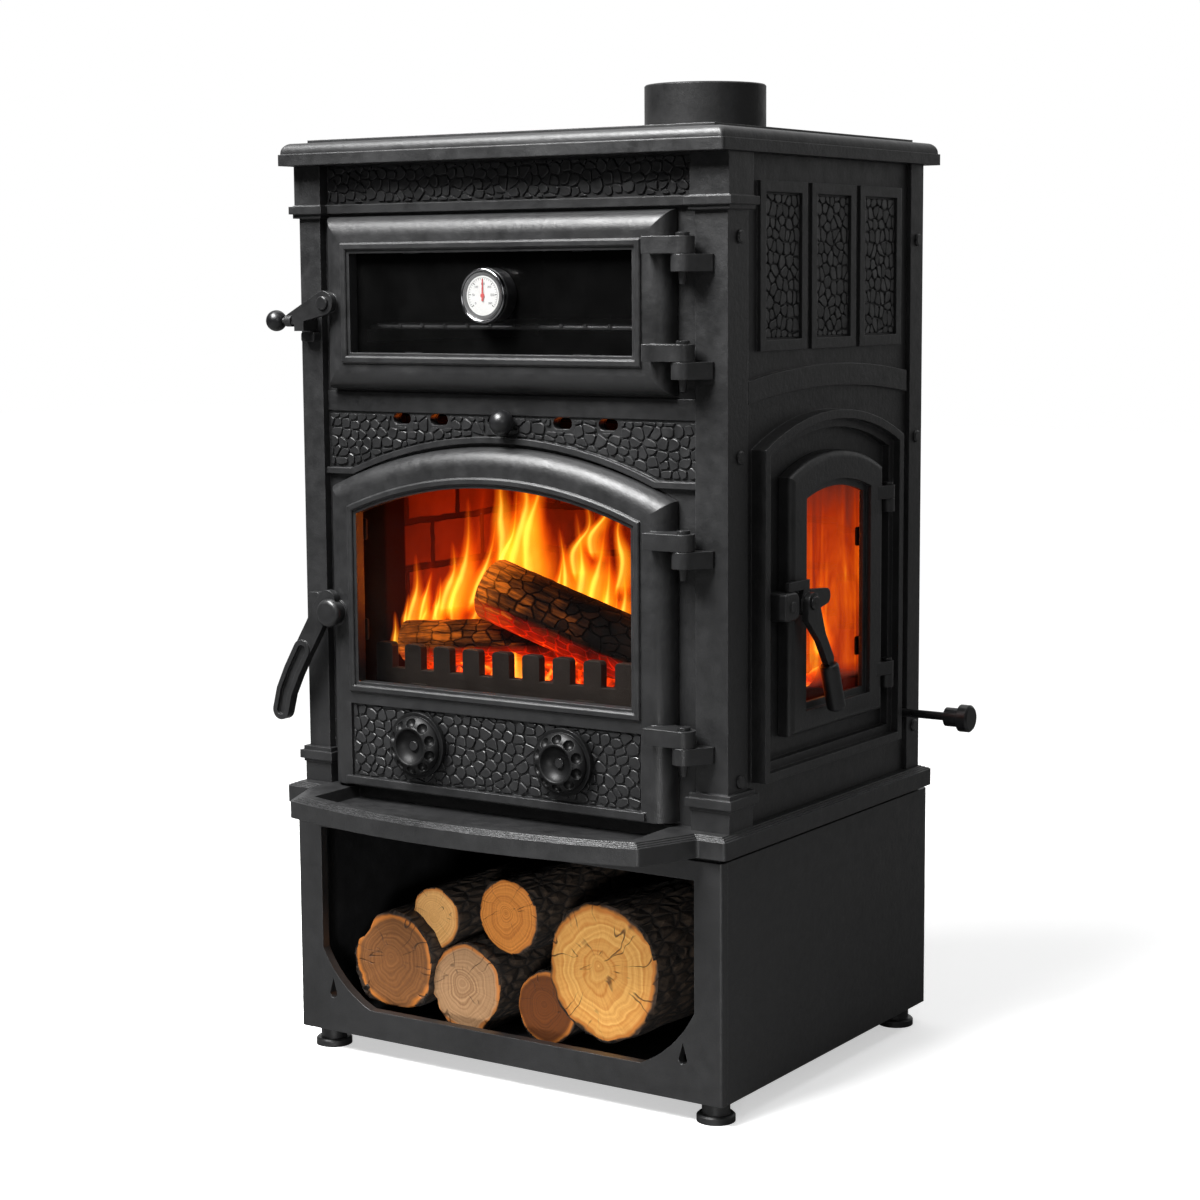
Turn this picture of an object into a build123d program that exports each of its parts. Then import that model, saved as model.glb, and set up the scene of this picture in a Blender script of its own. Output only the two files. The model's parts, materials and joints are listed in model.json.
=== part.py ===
"""Cast iron wood stove with an oven above the fire and a log store below it.

Millimetres, +Z up, the front faces -Y. Sizes are given in stove terms: across from the
body's centreline, back from the front of the base, and up from the floor. The three plane
functions put them in the part's frame, whose origin is at the middle of its footprint.
"""
from build123d import *
from math import cos, pi, radians, sin, sqrt
import os

os.makedirs("parts", exist_ok=True)

# Driving dimensions of the castings
BODY_HALF = 295.0
BASE_MARGIN = 5.0
BASE_HALF = BODY_HALF + BASE_MARGIN
BASE_DEPTH = 500.0
FOOT_HEIGHT = 26.0
BASE_TOP = 300.0
PLATE_TOP = 330.0
BODY_TOP = 1067.0
PILASTER_Y = 21.0
FRAME_Y = 32.0
FRAME_WALL = 10.0
REAR_MARGIN = 15.0
BODY_BACK = BASE_DEPTH - REAR_MARGIN
STRIP = 6.0
STRIP_DEPTH = 43.0
REAR_STRIP_DEPTH = 32.0
PANEL_WALL = 8.0
LEFT_PILASTER = 31.0
RIGHT_PILASTER = 41.0
INNER_LEFT = -BODY_HALF + LEFT_PILASTER
INNER_RIGHT = BODY_HALF - RIGHT_PILASTER

# Doors on the front
LATCH_MARGIN = 12.0
HINGE_MARGIN = 28.0
DOOR_X = (INNER_LEFT + LATCH_MARGIN + INNER_RIGHT - HINGE_MARGIN) / 2
DOOR_HALF = (INNER_RIGHT - HINGE_MARGIN - INNER_LEFT - LATCH_MARGIN) / 2
DOOR_GAP = 1.0
DOOR_FRONT_Y = 6.0
DOOR_ROLL = 22.0
DOOR_LAP = 18.0
SEAL_PROUD = 0.7
OVEN_BOTTOM = 806.0
OVEN_TOP = 1007.0
FIRE_BOTTOM = 334.0
FIRE_SPRING = 691.0
FIRE_APEX = 743.0
WINDOW_MARGIN = 34.0
OVEN_MARGIN = 31.0
BEAD_WIDTH = 8.0
BEAD_PROUD = 3.5
GLASS = 4.0

# Hinges of the front doors
HINGE_OFFSET = 25.5
HINGE_X = DOOR_X + DOOR_HALF + HINGE_OFFSET
HINGE_Y = 0.0
PIN_R = 5.0
FIT = 0.05
RUN = 0.08
LUG_HEIGHT = 18.5
LUG_GAP = 0.6
OVEN_HINGES = (959.0, 844.0)
FIRE_HINGES = (640.0, 425.0)

# Side door
LEAF_PROUD = 13.0
LEAF_GAP = 1.0
LEAF_X = BODY_HALF + LEAF_PROUD
LEAF_BACK = BODY_HALF - STRIP + LEAF_GAP
LEAF_FRONT_EDGE = 140.0
LEAF_REAR_EDGE = 362.0
LEAF_BOTTOM = 419.0
LEAF_SPRING = 712.0
LEAF_APEX = 737.0
SIDE_HINGE_X = LEAF_X - 2.0
SIDE_HINGE_Y = LEAF_REAR_EDGE + 14.0
SIDE_PIN_R = 4.0
SIDE_LUG = 15.5
SIDE_HINGES = (672.0, 461.0)

# Top plate and flue
TOP_OVERHANG = 10.5
TOP_HALF = BODY_HALF + TOP_OVERHANG
TOP_FRONT = -6.0
TOP_REAR = BODY_BACK + 27.0
TOP_BAND = 13.0
TOP_OGEE = 13.0
TOP_STEP = 4.0
FLUE_X = 40.0
FLUE_Y = 398.0
FLUE_R = 75.0
FLUE_WALL = 6.0
FLUE_TOP = 1168.0

# Hearth plate with its bowed ash lip
PLATE_OVERHANG = 9.0
PLATE_FRONT = 8.0
BOW_MARGIN = 57.0
BOW_HALF = BASE_HALF - BOW_MARGIN
BOW_CORNER = 80.0
BOW_REACH = 113.0
PLATE_BAND = 20.0
PLATE_SEAT = 6.0
PLATE_SKIN = 12.0
POCKET_IN = 8.0

# Reach of what stands out at the two sides
HANDLE_REACH = 328.0
ROD_REACH = 390.0

TOP_Z = BODY_TOP + TOP_BAND + TOP_OGEE + TOP_STEP
CX = (HANDLE_REACH - ROD_REACH) / 2
CY = (BOW_REACH - TOP_REAR) / 2


def front(y):
    """Plane that faces the front: local x runs across, local y runs up."""
    return Plane(origin=(CX, CY + y, 0), x_dir=(1, 0, 0), z_dir=(0, -1, 0))


def side(x):
    """Plane that faces right: local x runs back, local y runs up."""
    return Plane(origin=(CX + x, CY, 0), x_dir=(0, 1, 0), z_dir=(1, 0, 0))


def level(z):
    """Horizontal plane: local x runs across, local y runs back."""
    return Plane(origin=(CX, CY, z))


def rectangle(left, right, low, high):
    """Rectangle between two corners, in the sketch that is open."""
    with Locations(((left + right) / 2, (low + high) / 2)):
        Rectangle(right - left, high - low)


def cut_rectangle(left, right, low, high):
    """The same, taken away."""
    with Locations(((left + right) / 2, (low + high) / 2)):
        Rectangle(right - left, high - low, mode=Mode.SUBTRACT)


def arched(left, right, low, spring, apex):
    """Sketch of a rectangle whose top is one arc, from spring height up to the apex."""
    with BuildSketch(mode=Mode.PRIVATE) as shape:
        with BuildLine():
            Polyline((left, spring), (left, low), (right, low), (right, spring))
            ThreePointArc((right, spring), ((left + right) / 2, apex), (left, spring))
        make_face()
    return shape.sketch


def inset(shape, margin, low=None):
    """The arched shape drawn in by a margin all round, with its own bottom if low is given."""
    left, right, bottom, spring, apex = shape
    half = (right - left) / 2
    rise = apex - spring
    radius = (half * half + rise * rise) / (2 * rise)
    inner_half = half - margin
    inner_spring = apex - radius + sqrt((radius - margin) ** 2 - inner_half ** 2)
    inner_low = bottom + margin if low is None else low
    return (left + margin, right - margin, inner_low, inner_spring, apex - margin)


def limb(points, radius):
    """Sketch of a bar with round ends along a centreline that bends."""
    with BuildSketch(mode=Mode.PRIVATE) as bar:
        for start, end in zip(points, points[1:]):
            with BuildSketch(mode=Mode.PRIVATE) as link:
                with Locations(start, end):
                    Circle(radius)
                make_hull()
            add(link.sketch)
    return bar.sketch


OVEN_L = DOOR_X - DOOR_HALF
OVEN_R = DOOR_X + DOOR_HALF
FIRE = (OVEN_L, OVEN_R, FIRE_BOTTOM, FIRE_SPRING, FIRE_APEX)
LEAF = (LEAF_FRONT_EDGE, LEAF_REAR_EDGE, LEAF_BOTTOM, LEAF_SPRING, LEAF_APEX)
PANEL_X = BODY_HALF - STRIP
PANEL_IN = PANEL_X - PANEL_WALL
FRAME_BACK = FRAME_Y + FRAME_WALL
DOOR_BACK_Y = FRAME_Y - DOOR_GAP

# Log store: a five-sided casing behind a cast front
CASE_WALL = 8.0
STORE_FRONT = 12.0
STORE_STILE = 36.0
STORE_RAIL = 34.0
STORE_TOP_RAIL = 22.0
GUSSET_WIDE = 71.0
GUSSET_HIGH = 68.0
GUSSET_SAG = 6.0
TOP_LIP = 24.0

with BuildPart() as base_cabinet:
    with BuildSketch(level(FOOT_HEIGHT)):
        rectangle(-BASE_HALF, BASE_HALF, STORE_FRONT, BASE_DEPTH)
    extrude(amount=BASE_TOP - FOOT_HEIGHT)
    with BuildSketch(front(STORE_FRONT)):
        rectangle(-BASE_HALF + CASE_WALL, BASE_HALF - CASE_WALL,
                  FOOT_HEIGHT + CASE_WALL, BASE_TOP - CASE_WALL)
    extrude(amount=-(BASE_DEPTH - STORE_FRONT - CASE_WALL), mode=Mode.SUBTRACT)
    with BuildSketch(level(BASE_TOP)):
        rectangle(-BASE_HALF + TOP_LIP, BASE_HALF - TOP_LIP,
                  STORE_FRONT + TOP_LIP, BASE_DEPTH - TOP_LIP)
    extrude(amount=-CASE_WALL, mode=Mode.SUBTRACT)
    fillet(base_cabinet.edges().filter_by(Axis.Z).group_by(Axis.Y)[-1], 4)
base_cabinet.part.label = "base_cabinet"
export_step(base_cabinet.part, "parts/base_cabinet.step")

STORE_L = -BASE_HALF + STORE_STILE
STORE_R = BASE_HALF - STORE_STILE
STORE_LOW = FOOT_HEIGHT + STORE_RAIL
STORE_HIGH = BASE_TOP - STORE_TOP_RAIL
DROP_R = 5.5
DROP_TALL = 19.0
DROP_IN = 15.0
DROP_UP = 13.0

with BuildPart() as base_front:
    with BuildSketch(front(STORE_FRONT)):
        rectangle(-BASE_HALF, BASE_HALF, FOOT_HEIGHT, BASE_TOP)
        cut_rectangle(STORE_L, STORE_R, STORE_LOW, STORE_HIGH)
        for way, edge in ((1, STORE_L), (-1, STORE_R)):
            top = (edge, STORE_LOW + GUSSET_HIGH)
            foot = (edge + way * GUSSET_WIDE, STORE_LOW)
            middle = ((top[0] + foot[0]) / 2 - way * GUSSET_SAG, (top[1] + foot[1]) / 2 - GUSSET_SAG)
            with BuildLine():
                Line(top, (edge, STORE_LOW))
                Line((edge, STORE_LOW), foot)
                ThreePointArc(foot, middle, top)
            make_face()
            drop = (edge + way * DROP_IN, STORE_LOW + DROP_UP)
            reach = (DROP_R * cos(radians(25)), drop[1] + DROP_R * sin(radians(25)))
            with BuildLine():
                ThreePointArc((drop[0] - reach[0], reach[1]), (drop[0], drop[1] - DROP_R),
                              (drop[0] + reach[0], reach[1]))
                Line((drop[0] + reach[0], reach[1]), (drop[0], drop[1] + DROP_TALL))
                Line((drop[0], drop[1] + DROP_TALL), (drop[0] - reach[0], reach[1]))
            make_face(mode=Mode.SUBTRACT)
    extrude(amount=STORE_FRONT)
    fillet(base_front.edges().filter_by(Axis.Z).group_by(Axis.Y)[0].sort_by(Axis.X)[0], 4)
    fillet(base_front.edges().filter_by(Axis.Z).group_by(Axis.Y)[0].sort_by(Axis.X)[-1], 4)
base_front.part.label = "base_front"
export_step(base_front.part, "parts/base_front.step")

# Levelling feet: a pad on a short stout neck under each corner
FOOT_R = 22.0
FOOT_NECK_R = 16.0
PAD_THICK = 9.0
FOOT_IN_X = 26.0
FOOT_IN_Y = 30.0

with BuildPart() as levelling_feet:
    with BuildSketch(level(0)):
        for x in (-BASE_HALF + FOOT_IN_X, BASE_HALF - FOOT_IN_X):
            for y in (FOOT_IN_Y, BASE_DEPTH - FOOT_IN_Y):
                with Locations((x, y)):
                    Circle(FOOT_R)
    extrude(amount=PAD_THICK)
    with BuildSketch(level(PAD_THICK)):
        for x in (-BASE_HALF + FOOT_IN_X, BASE_HALF - FOOT_IN_X):
            for y in (FOOT_IN_Y, BASE_DEPTH - FOOT_IN_Y):
                with Locations((x, y)):
                    Circle(FOOT_NECK_R)
    extrude(amount=FOOT_HEIGHT - PAD_THICK)
    rims = levelling_feet.edges().filter_by(GeomType.CIRCLE).group_by(Axis.Z)
    chamfer(rims[1].filter_by(lambda e: e.radius > FOOT_NECK_R + 1), 2)
levelling_feet.part.label = "levelling_feet"
export_step(levelling_feet.part, "parts/levelling_feet.step")


def plate_outline(grow):
    """Plan of the hearth plate, grown by a margin: square corner blocks and a bowed lip."""
    half = BASE_HALF + PLATE_OVERHANG + grow
    y = -PLATE_FRONT - grow
    back = BASE_DEPTH - PLATE_OVERHANG / 2 + grow
    bow = BOW_HALF + grow
    neck = bow + (BOW_CORNER - PLATE_FRONT) * 0.42
    with BuildSketch(mode=Mode.PRIVATE) as plan:
        with BuildLine():
            Polyline((-bow, -BOW_CORNER - grow), (-neck, y), (-half, y), (-half, back),
                     (half, back), (half, y), (neck, y), (bow, -BOW_CORNER - grow))
            ThreePointArc((bow, -BOW_CORNER - grow), (0, -BOW_REACH - grow), (-bow, -BOW_CORNER - grow))
        make_face()
    return plan.sketch


# The lip's trough catches ash that falls from the fire door
TROUGH_DEPTH = 14.0
TROUGH_BACK = PILASTER_Y + 4.0
REED_WIDE = 20.0
REED_RISE = PLATE_TOP - BASE_TOP - PLATE_SEAT - PLATE_BAND
REEDS = 3
PLATE_LOW = BASE_TOP + PLATE_SEAT
BAND_TOP = PLATE_LOW + PLATE_BAND

with BuildPart() as hearth_plate:
    with BuildSketch(level(PLATE_LOW)) as plate_plan:
        add(plate_outline(0))
        fillet(plate_plan.vertices(), 5)
    extrude(amount=PLATE_BAND)
    for step in range(REEDS):
        with BuildSketch(level(BAND_TOP + REED_RISE * step / REEDS)):
            add(plate_outline(-3.0 - REED_WIDE * step / REEDS / 2))
        extrude(amount=REED_RISE / REEDS)
    with BuildSketch(level(BASE_TOP)):
        rectangle(-BASE_HALF + CASE_WALL, BASE_HALF - CASE_WALL, CASE_WALL, BASE_DEPTH - CASE_WALL)
    extrude(amount=PLATE_SEAT)
    with BuildSketch(level(PLATE_TOP)):
        with BuildLine():
            trough_half = BOW_HALF - REED_WIDE
            Polyline((-trough_half, -BOW_CORNER + REED_WIDE), (-trough_half, TROUGH_BACK),
                     (trough_half, TROUGH_BACK), (trough_half, -BOW_CORNER + REED_WIDE))
            ThreePointArc((trough_half, -BOW_CORNER + REED_WIDE), (0, -BOW_REACH + REED_WIDE),
                          (-trough_half, -BOW_CORNER + REED_WIDE))
        make_face()
    extrude(amount=-TROUGH_DEPTH, mode=Mode.SUBTRACT, taper=12)
    with BuildSketch(level(BASE_TOP)):
        rectangle(-BASE_HALF + TOP_LIP + POCKET_IN, BASE_HALF - TOP_LIP - POCKET_IN,
                  FRAME_BACK + POCKET_IN, BODY_BACK - TOP_LIP - POCKET_IN)
    extrude(amount=PLATE_TOP - BASE_TOP - PLATE_SKIN, mode=Mode.SUBTRACT)
hearth_plate.part.label = "hearth_plate"
export_step(hearth_plate.part, "parts/hearth_plate.step")

# Front frame: one casting with a pilaster at each side and openings for the two doors
PLINTH_TOP = 353.0
LOW_MOULD_TOP = 372.0
CAP_LOW = 1006.0
CAP_TOP = 1021.0
MOULD_PROUD = 9.0
PLINTH_PROUD = 4.0
FRIEZE_LOW = 713.0
SLOT_Z = 772.0
SLOT_X = (DOOR_X - 141.5, DOOR_X - 87.5, DOOR_X + 86.0, DOOR_X + 147.5)
SLOT_LONG = 26.0
SLOT_HIGH = 13.0
AIR_TRAVEL = 27.0
AIR_KNOB_X = DOOR_X + 13.0
STEM_R = 4.0
STEM_CLEAR = 0.6
SLIDE_L = SLOT_X[0] - 60.5
SLIDE_R = SLOT_X[3] + 30.5
SLIDE_HALF = 16.5
SLIDE_THICK = 4.0
GUIDE_IN = SLIDE_HALF + 0.5
GUIDE_HIGH = 6.0
GUIDE_DEEP = 7.0
ARCH_BAND = 7.0
ARCH_PROUD = 7.0
ARCH_GAP = 8.0
ARCH_FOOT = 35.0


def pilaster_band(sign, inner, z_low, z_high, proud):
    """Collar of a front corner pilaster between two heights, proud of its faces."""
    with BuildSketch(level(z_low)) as collar:
        with BuildLine():
            Polyline((sign * (inner - proud), FRAME_Y + 2), (sign * (inner - proud), PILASTER_Y - proud),
                     (sign * (BODY_HALF + proud), PILASTER_Y - proud),
                     (sign * (BODY_HALF + proud), PILASTER_Y + STRIP_DEPTH + proud),
                     (sign * PANEL_X, PILASTER_Y + STRIP_DEPTH + proud), (sign * PANEL_X, FRAME_Y + 2),
                     close=True)
        make_face()
    extrude(collar.sketch, amount=z_high - z_low)


BOLT_Y = (46.0, 470.0)
BOLT_Z = (977.0, 740.0, 383.0)
BOLT_HEAD_R = 7.5
BOLT_R = 4.0
BOLT_CLEAR = 0.1

with BuildPart() as front_frame:
    with BuildSketch(level(PLATE_TOP)):
        with BuildLine():
            Polyline((INNER_LEFT, FRAME_Y), (INNER_LEFT, PILASTER_Y), (-BODY_HALF, PILASTER_Y),
                     (-BODY_HALF, PILASTER_Y + STRIP_DEPTH), (-PANEL_X, PILASTER_Y + STRIP_DEPTH),
                     (-PANEL_X, FRAME_Y), (INNER_LEFT - STRIP, FRAME_Y), (INNER_LEFT - STRIP, FRAME_BACK),
                     (INNER_RIGHT + STRIP, FRAME_BACK), (INNER_RIGHT + STRIP, FRAME_Y),
                     (PANEL_X, FRAME_Y), (PANEL_X, PILASTER_Y + STRIP_DEPTH),
                     (BODY_HALF, PILASTER_Y + STRIP_DEPTH), (BODY_HALF, PILASTER_Y),
                     (INNER_RIGHT, PILASTER_Y), (INNER_RIGHT, FRAME_Y), close=True)
        make_face()
    extrude(amount=BODY_TOP - PLATE_TOP)
    for sign, inner in ((-1, -INNER_LEFT), (1, INNER_RIGHT)):
        pilaster_band(sign, inner, PLATE_TOP, PLINTH_TOP, PLINTH_PROUD)
        pilaster_band(sign, inner, PLINTH_TOP, LOW_MOULD_TOP, PLINTH_PROUD + 1.5)
        pilaster_band(sign, inner, PLINTH_TOP + 4, LOW_MOULD_TOP - 5, MOULD_PROUD)
        pilaster_band(sign, inner, CAP_LOW, CAP_TOP, PLINTH_PROUD + 1.5)
        pilaster_band(sign, inner, CAP_LOW + 5, CAP_TOP - 1, MOULD_PROUD)
        pilaster_band(sign, inner, CAP_TOP, BODY_TOP, PLINTH_PROUD)
    with BuildSketch(front(FRAME_Y)):
        rectangle(INNER_LEFT, INNER_RIGHT, CAP_TOP - 10, CAP_TOP)
    extrude(amount=8)
    with BuildSketch(front(FRAME_Y)):
        shoulder = inset(FIRE, ARCH_FOOT - ARCH_GAP)[3] + ARCH_FOOT
        arch_half = DOOR_HALF + ARCH_GAP - ARCH_FOOT
        with BuildLine():
            Line((INNER_LEFT, shoulder), (DOOR_X - arch_half, shoulder))
            ThreePointArc((DOOR_X - arch_half, shoulder), (DOOR_X, FIRE_APEX + ARCH_GAP),
                          (DOOR_X + arch_half, shoulder))
            Line((DOOR_X + arch_half, shoulder), (INNER_RIGHT, shoulder))
        trace(line_width=ARCH_BAND)
    extrude(amount=ARCH_PROUD)
    with BuildSketch(front(FRAME_BACK)):
        cut = inset(FIRE, DOOR_LAP, low=FIRE_BOTTOM + DOOR_LAP - 4)
        add(arched(*cut))
        rectangle(OVEN_L + DOOR_LAP, OVEN_R - DOOR_LAP, OVEN_BOTTOM + DOOR_LAP, OVEN_TOP - DOOR_LAP)
        for x in SLOT_X:
            with Locations((x, SLOT_Z)):
                SlotOverall(SLOT_LONG, SLOT_HIGH)
        with Locations((AIR_KNOB_X - AIR_TRAVEL / 2, SLOT_Z)):
            SlotOverall(AIR_TRAVEL + 2 * (STEM_R + STEM_CLEAR), 2 * (STEM_R + STEM_CLEAR))
    extrude(amount=FRAME_WALL + ARCH_PROUD + 10, mode=Mode.SUBTRACT)
    with BuildSketch(front(FRAME_BACK + GUIDE_DEEP)):
        rectangle(SLIDE_L, SLIDE_R, SLOT_Z - GUIDE_IN - GUIDE_HIGH, SLOT_Z - GUIDE_IN)
        rectangle(SLIDE_L, SLIDE_R, SLOT_Z + GUIDE_IN, SLOT_Z + GUIDE_IN + GUIDE_HIGH)
    extrude(amount=GUIDE_DEEP)
    for sign in (-1, 1):
        with BuildSketch(side(sign * BODY_HALF)):
            for z in BOLT_Z:
                with Locations((BOLT_Y[0], z)):
                    Circle(BOLT_R + BOLT_CLEAR)
        extrude(amount=-sign * STRIP, mode=Mode.SUBTRACT)
front_frame.part.label = "front_frame"
export_step(front_frame.part, "parts/front_frame.step")


# Side panels: raised frames above, an arched band across, and below it the side door's surround
PANEL_FRONT = FRAME_BACK + 1.0
PANEL_REAR = BODY_BACK - PANEL_WALL
FRAME_SPAN = (93.0, 430.0)
FRAME_GAP = 11.0
FRAME_LOW = 853.0
FRAME_HIGH = 1038.0
FRAME_BAR = 12.0
FRAME_PROUD = 5.0
BAND_SPAN = (67.0, 446.0)
BAND_LOW = 796.0
BAND_HIGH = 821.0
BAND_RISE = 14.0
SURROUND = (81.0, 413.0, 376.0, 746.0, 783.0)
SURROUND_BAR = 20.0
SURROUND_PROUD = LEAF_X - PANEL_X
ROD_Y = BODY_BACK - 49.0
ROD_Z = 404.0
ROD_R = 5.0


def side_panel_body(sign):
    """Plain wall of a side panel with the raised frames and the arched band on it."""
    with BuildSketch(side(sign * PANEL_IN)) as wall:
        rectangle(PANEL_FRONT, PANEL_REAR, PLATE_TOP, BODY_TOP)
    extrude(wall.sketch, amount=sign * PANEL_WALL)
    width = (FRAME_SPAN[1] - FRAME_SPAN[0] - 2 * FRAME_GAP) / 3
    with BuildSketch(side(sign * PANEL_X)) as frames:
        for index in range(3):
            start = FRAME_SPAN[0] + index * (width + FRAME_GAP)
            rectangle(start, start + width, FRAME_LOW, FRAME_HIGH)
            cut_rectangle(start + FRAME_BAR, start + width - FRAME_BAR, FRAME_LOW + FRAME_BAR,
                          FRAME_HIGH - FRAME_BAR)
    extrude(frames.sketch, amount=sign * FRAME_PROUD)
    middle = (BAND_SPAN[0] + BAND_SPAN[1]) / 2
    with BuildSketch(side(sign * PANEL_X)) as band:
        with BuildLine():
            Line((BAND_SPAN[0], BAND_HIGH), (BAND_SPAN[0], BAND_LOW))
            ThreePointArc((BAND_SPAN[0], BAND_LOW), (middle, BAND_LOW + BAND_RISE), (BAND_SPAN[1], BAND_LOW))
            Line((BAND_SPAN[1], BAND_LOW), (BAND_SPAN[1], BAND_HIGH))
            ThreePointArc((BAND_SPAN[1], BAND_HIGH), (middle, BAND_HIGH + BAND_RISE),
                          (BAND_SPAN[0], BAND_HIGH))
        make_face()
    extrude(band.sketch, amount=sign * FRAME_PROUD)


with BuildPart() as side_panel_left:
    side_panel_body(-1)
    with BuildSketch(side(-PANEL_X)):
        add(arched(*SURROUND))
        add(arched(*inset(SURROUND, SURROUND_BAR)), mode=Mode.SUBTRACT)
    extrude(amount=-FRAME_PROUD)
side_panel_left.part.label = "side_panel_left"
export_step(side_panel_left.part, "parts/side_panel_left.step")

with BuildPart() as side_panel_right:
    side_panel_body(1)
    with BuildSketch(side(PANEL_X)):
        add(arched(*SURROUND))
        add(arched(*inset(SURROUND, SURROUND_BAR / 2)), mode=Mode.SUBTRACT)
    extrude(amount=SURROUND_PROUD)
    with BuildSketch(side(PANEL_X)):
        add(arched(*inset(SURROUND, SURROUND_BAR / 2)))
        add(arched(*inset(SURROUND, SURROUND_BAR)), mode=Mode.SUBTRACT)
    extrude(amount=SURROUND_PROUD / 2)
    with BuildSketch(side(PANEL_IN)):
        add(arched(*inset(LEAF, 14)))
        with Locations((ROD_Y, ROD_Z)):
            Circle(ROD_R + 0.4)
    extrude(amount=PANEL_WALL, mode=Mode.SUBTRACT)
side_panel_right.part.label = "side_panel_right"
export_step(side_panel_right.part, "parts/side_panel_right.step")

# Back panel with strips that lap round the side panels
with BuildPart() as back_panel:
    with BuildSketch(level(PLATE_TOP)):
        with BuildLine():
            Polyline((-BODY_HALF, BODY_BACK - REAR_STRIP_DEPTH), (-BODY_HALF, BODY_BACK),
                     (BODY_HALF, BODY_BACK), (BODY_HALF, BODY_BACK - REAR_STRIP_DEPTH),
                     (PANEL_X, BODY_BACK - REAR_STRIP_DEPTH), (PANEL_X, BODY_BACK - PANEL_WALL),
                     (-PANEL_X, BODY_BACK - PANEL_WALL), (-PANEL_X, BODY_BACK - REAR_STRIP_DEPTH),
                     close=True)
        make_face()
    extrude(amount=BODY_TOP - PLATE_TOP)
    for sign in (-1, 1):
        with BuildSketch(side(sign * BODY_HALF)):
            for z in BOLT_Z:
                with Locations((BOLT_Y[1], z)):
                    Circle(BOLT_R + BOLT_CLEAR)
        extrude(amount=-sign * STRIP, mode=Mode.SUBTRACT)
back_panel.part.label = "back_panel"
export_step(back_panel.part, "parts/back_panel.step")

with BuildPart() as panel_bolts:
    for sign in (-1, 1):
        with BuildSketch(side(sign * BODY_HALF)) as heads:
            for y in BOLT_Y:
                for z in BOLT_Z:
                    with Locations((y, z)):
                        Circle(BOLT_HEAD_R)
        extrude(amount=sign * 3.5)
        with BuildSketch(side(sign * BODY_HALF)):
            for y in BOLT_Y:
                for z in BOLT_Z:
                    with Locations((y, z)):
                        Circle(BOLT_R)
        extrude(amount=-sign * STRIP)
        ends = panel_bolts.faces().sort_by(Axis.X)
        chamfer((ends[-6:] if sign > 0 else ends[:6]).edges(), 1.5)
panel_bolts.part.label = "panel_bolts"
export_step(panel_bolts.part, "parts/panel_bolts.step")

# Top plate: a square band, a quarter-round above it and a low platform
with BuildPart() as top_plate:
    with BuildSketch(level(BODY_TOP)) as band_plan:
        rectangle(-TOP_HALF, TOP_HALF, TOP_FRONT, TOP_REAR)
        fillet(band_plan.vertices(), 4)
    extrude(amount=TOP_BAND)
    with BuildSketch(level(BODY_TOP + TOP_BAND)) as ogee_plan:
        rectangle(-TOP_HALF + 2, TOP_HALF - 2, TOP_FRONT + 2, TOP_REAR - 2)
        fillet(ogee_plan.vertices(), 4)
    extrude(amount=TOP_OGEE)
    fillet(top_plate.faces().sort_by(Axis.Z)[-1].edges(), TOP_OGEE - 2)
    with BuildSketch(level(BODY_TOP + TOP_BAND + TOP_OGEE)):
        rectangle(-TOP_HALF + 26, TOP_HALF - 26, TOP_FRONT + 26, TOP_REAR - 26)
    extrude(amount=TOP_STEP)
    with BuildSketch(level(TOP_Z)):
        with Locations((FLUE_X, FLUE_Y)):
            Circle(FLUE_R - FLUE_WALL)
    extrude(amount=-(TOP_Z - BODY_TOP), mode=Mode.SUBTRACT)
    with BuildSketch(level(BODY_TOP)):
        rectangle(-PANEL_IN + POCKET_IN, PANEL_IN - POCKET_IN,
                  FRAME_BACK + POCKET_IN, BODY_BACK - PANEL_WALL - POCKET_IN)
    extrude(amount=TOP_Z - BODY_TOP - PLATE_SKIN, mode=Mode.SUBTRACT)
top_plate.part.label = "top_plate"
export_step(top_plate.part, "parts/top_plate.step")

FLUE_FLANGE_R = 86.0
FLUE_FLANGE = 6.0

with BuildPart() as flue_collar:
    with BuildSketch(level(TOP_Z)):
        with Locations((FLUE_X, FLUE_Y)):
            Circle(FLUE_FLANGE_R)
    extrude(amount=FLUE_FLANGE)
    with BuildSketch(level(TOP_Z)):
        with Locations((FLUE_X, FLUE_Y)):
            Circle(FLUE_R)
    extrude(amount=FLUE_TOP - TOP_Z)
    chamfer(flue_collar.edges().filter_by(GeomType.CIRCLE).sort_by(Axis.Z)[-1], 1.5)
    with BuildSketch(level(TOP_Z)):
        with Locations((FLUE_X, FLUE_Y)):
            Circle(FLUE_R - FLUE_WALL)
    extrude(amount=FLUE_TOP - TOP_Z, mode=Mode.SUBTRACT)
flue_collar.part.label = "flue_collar"
export_step(flue_collar.part, "parts/flue_collar.step")

FLUE_BOLTS = 3

with BuildPart() as flue_bolts:
    with BuildSketch(level(TOP_Z + FLUE_FLANGE)):
        with Locations((FLUE_X, FLUE_Y)):
            with PolarLocations((FLUE_R + FLUE_FLANGE_R) / 2, FLUE_BOLTS, start_angle=90):
                RegularPolygon(4.5, 6)
    extrude(amount=4)
flue_bolts.part.label = "flue_bolts"
export_step(flue_bolts.part, "parts/flue_bolts.step")


# Hinge lugs: the frame's lugs stand on the right pilaster and the doors' lugs turn above them
EYE_R = 13.0
LUG_ROOT_L = 206.0
LUG_ROOT_R = 224.0


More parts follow.
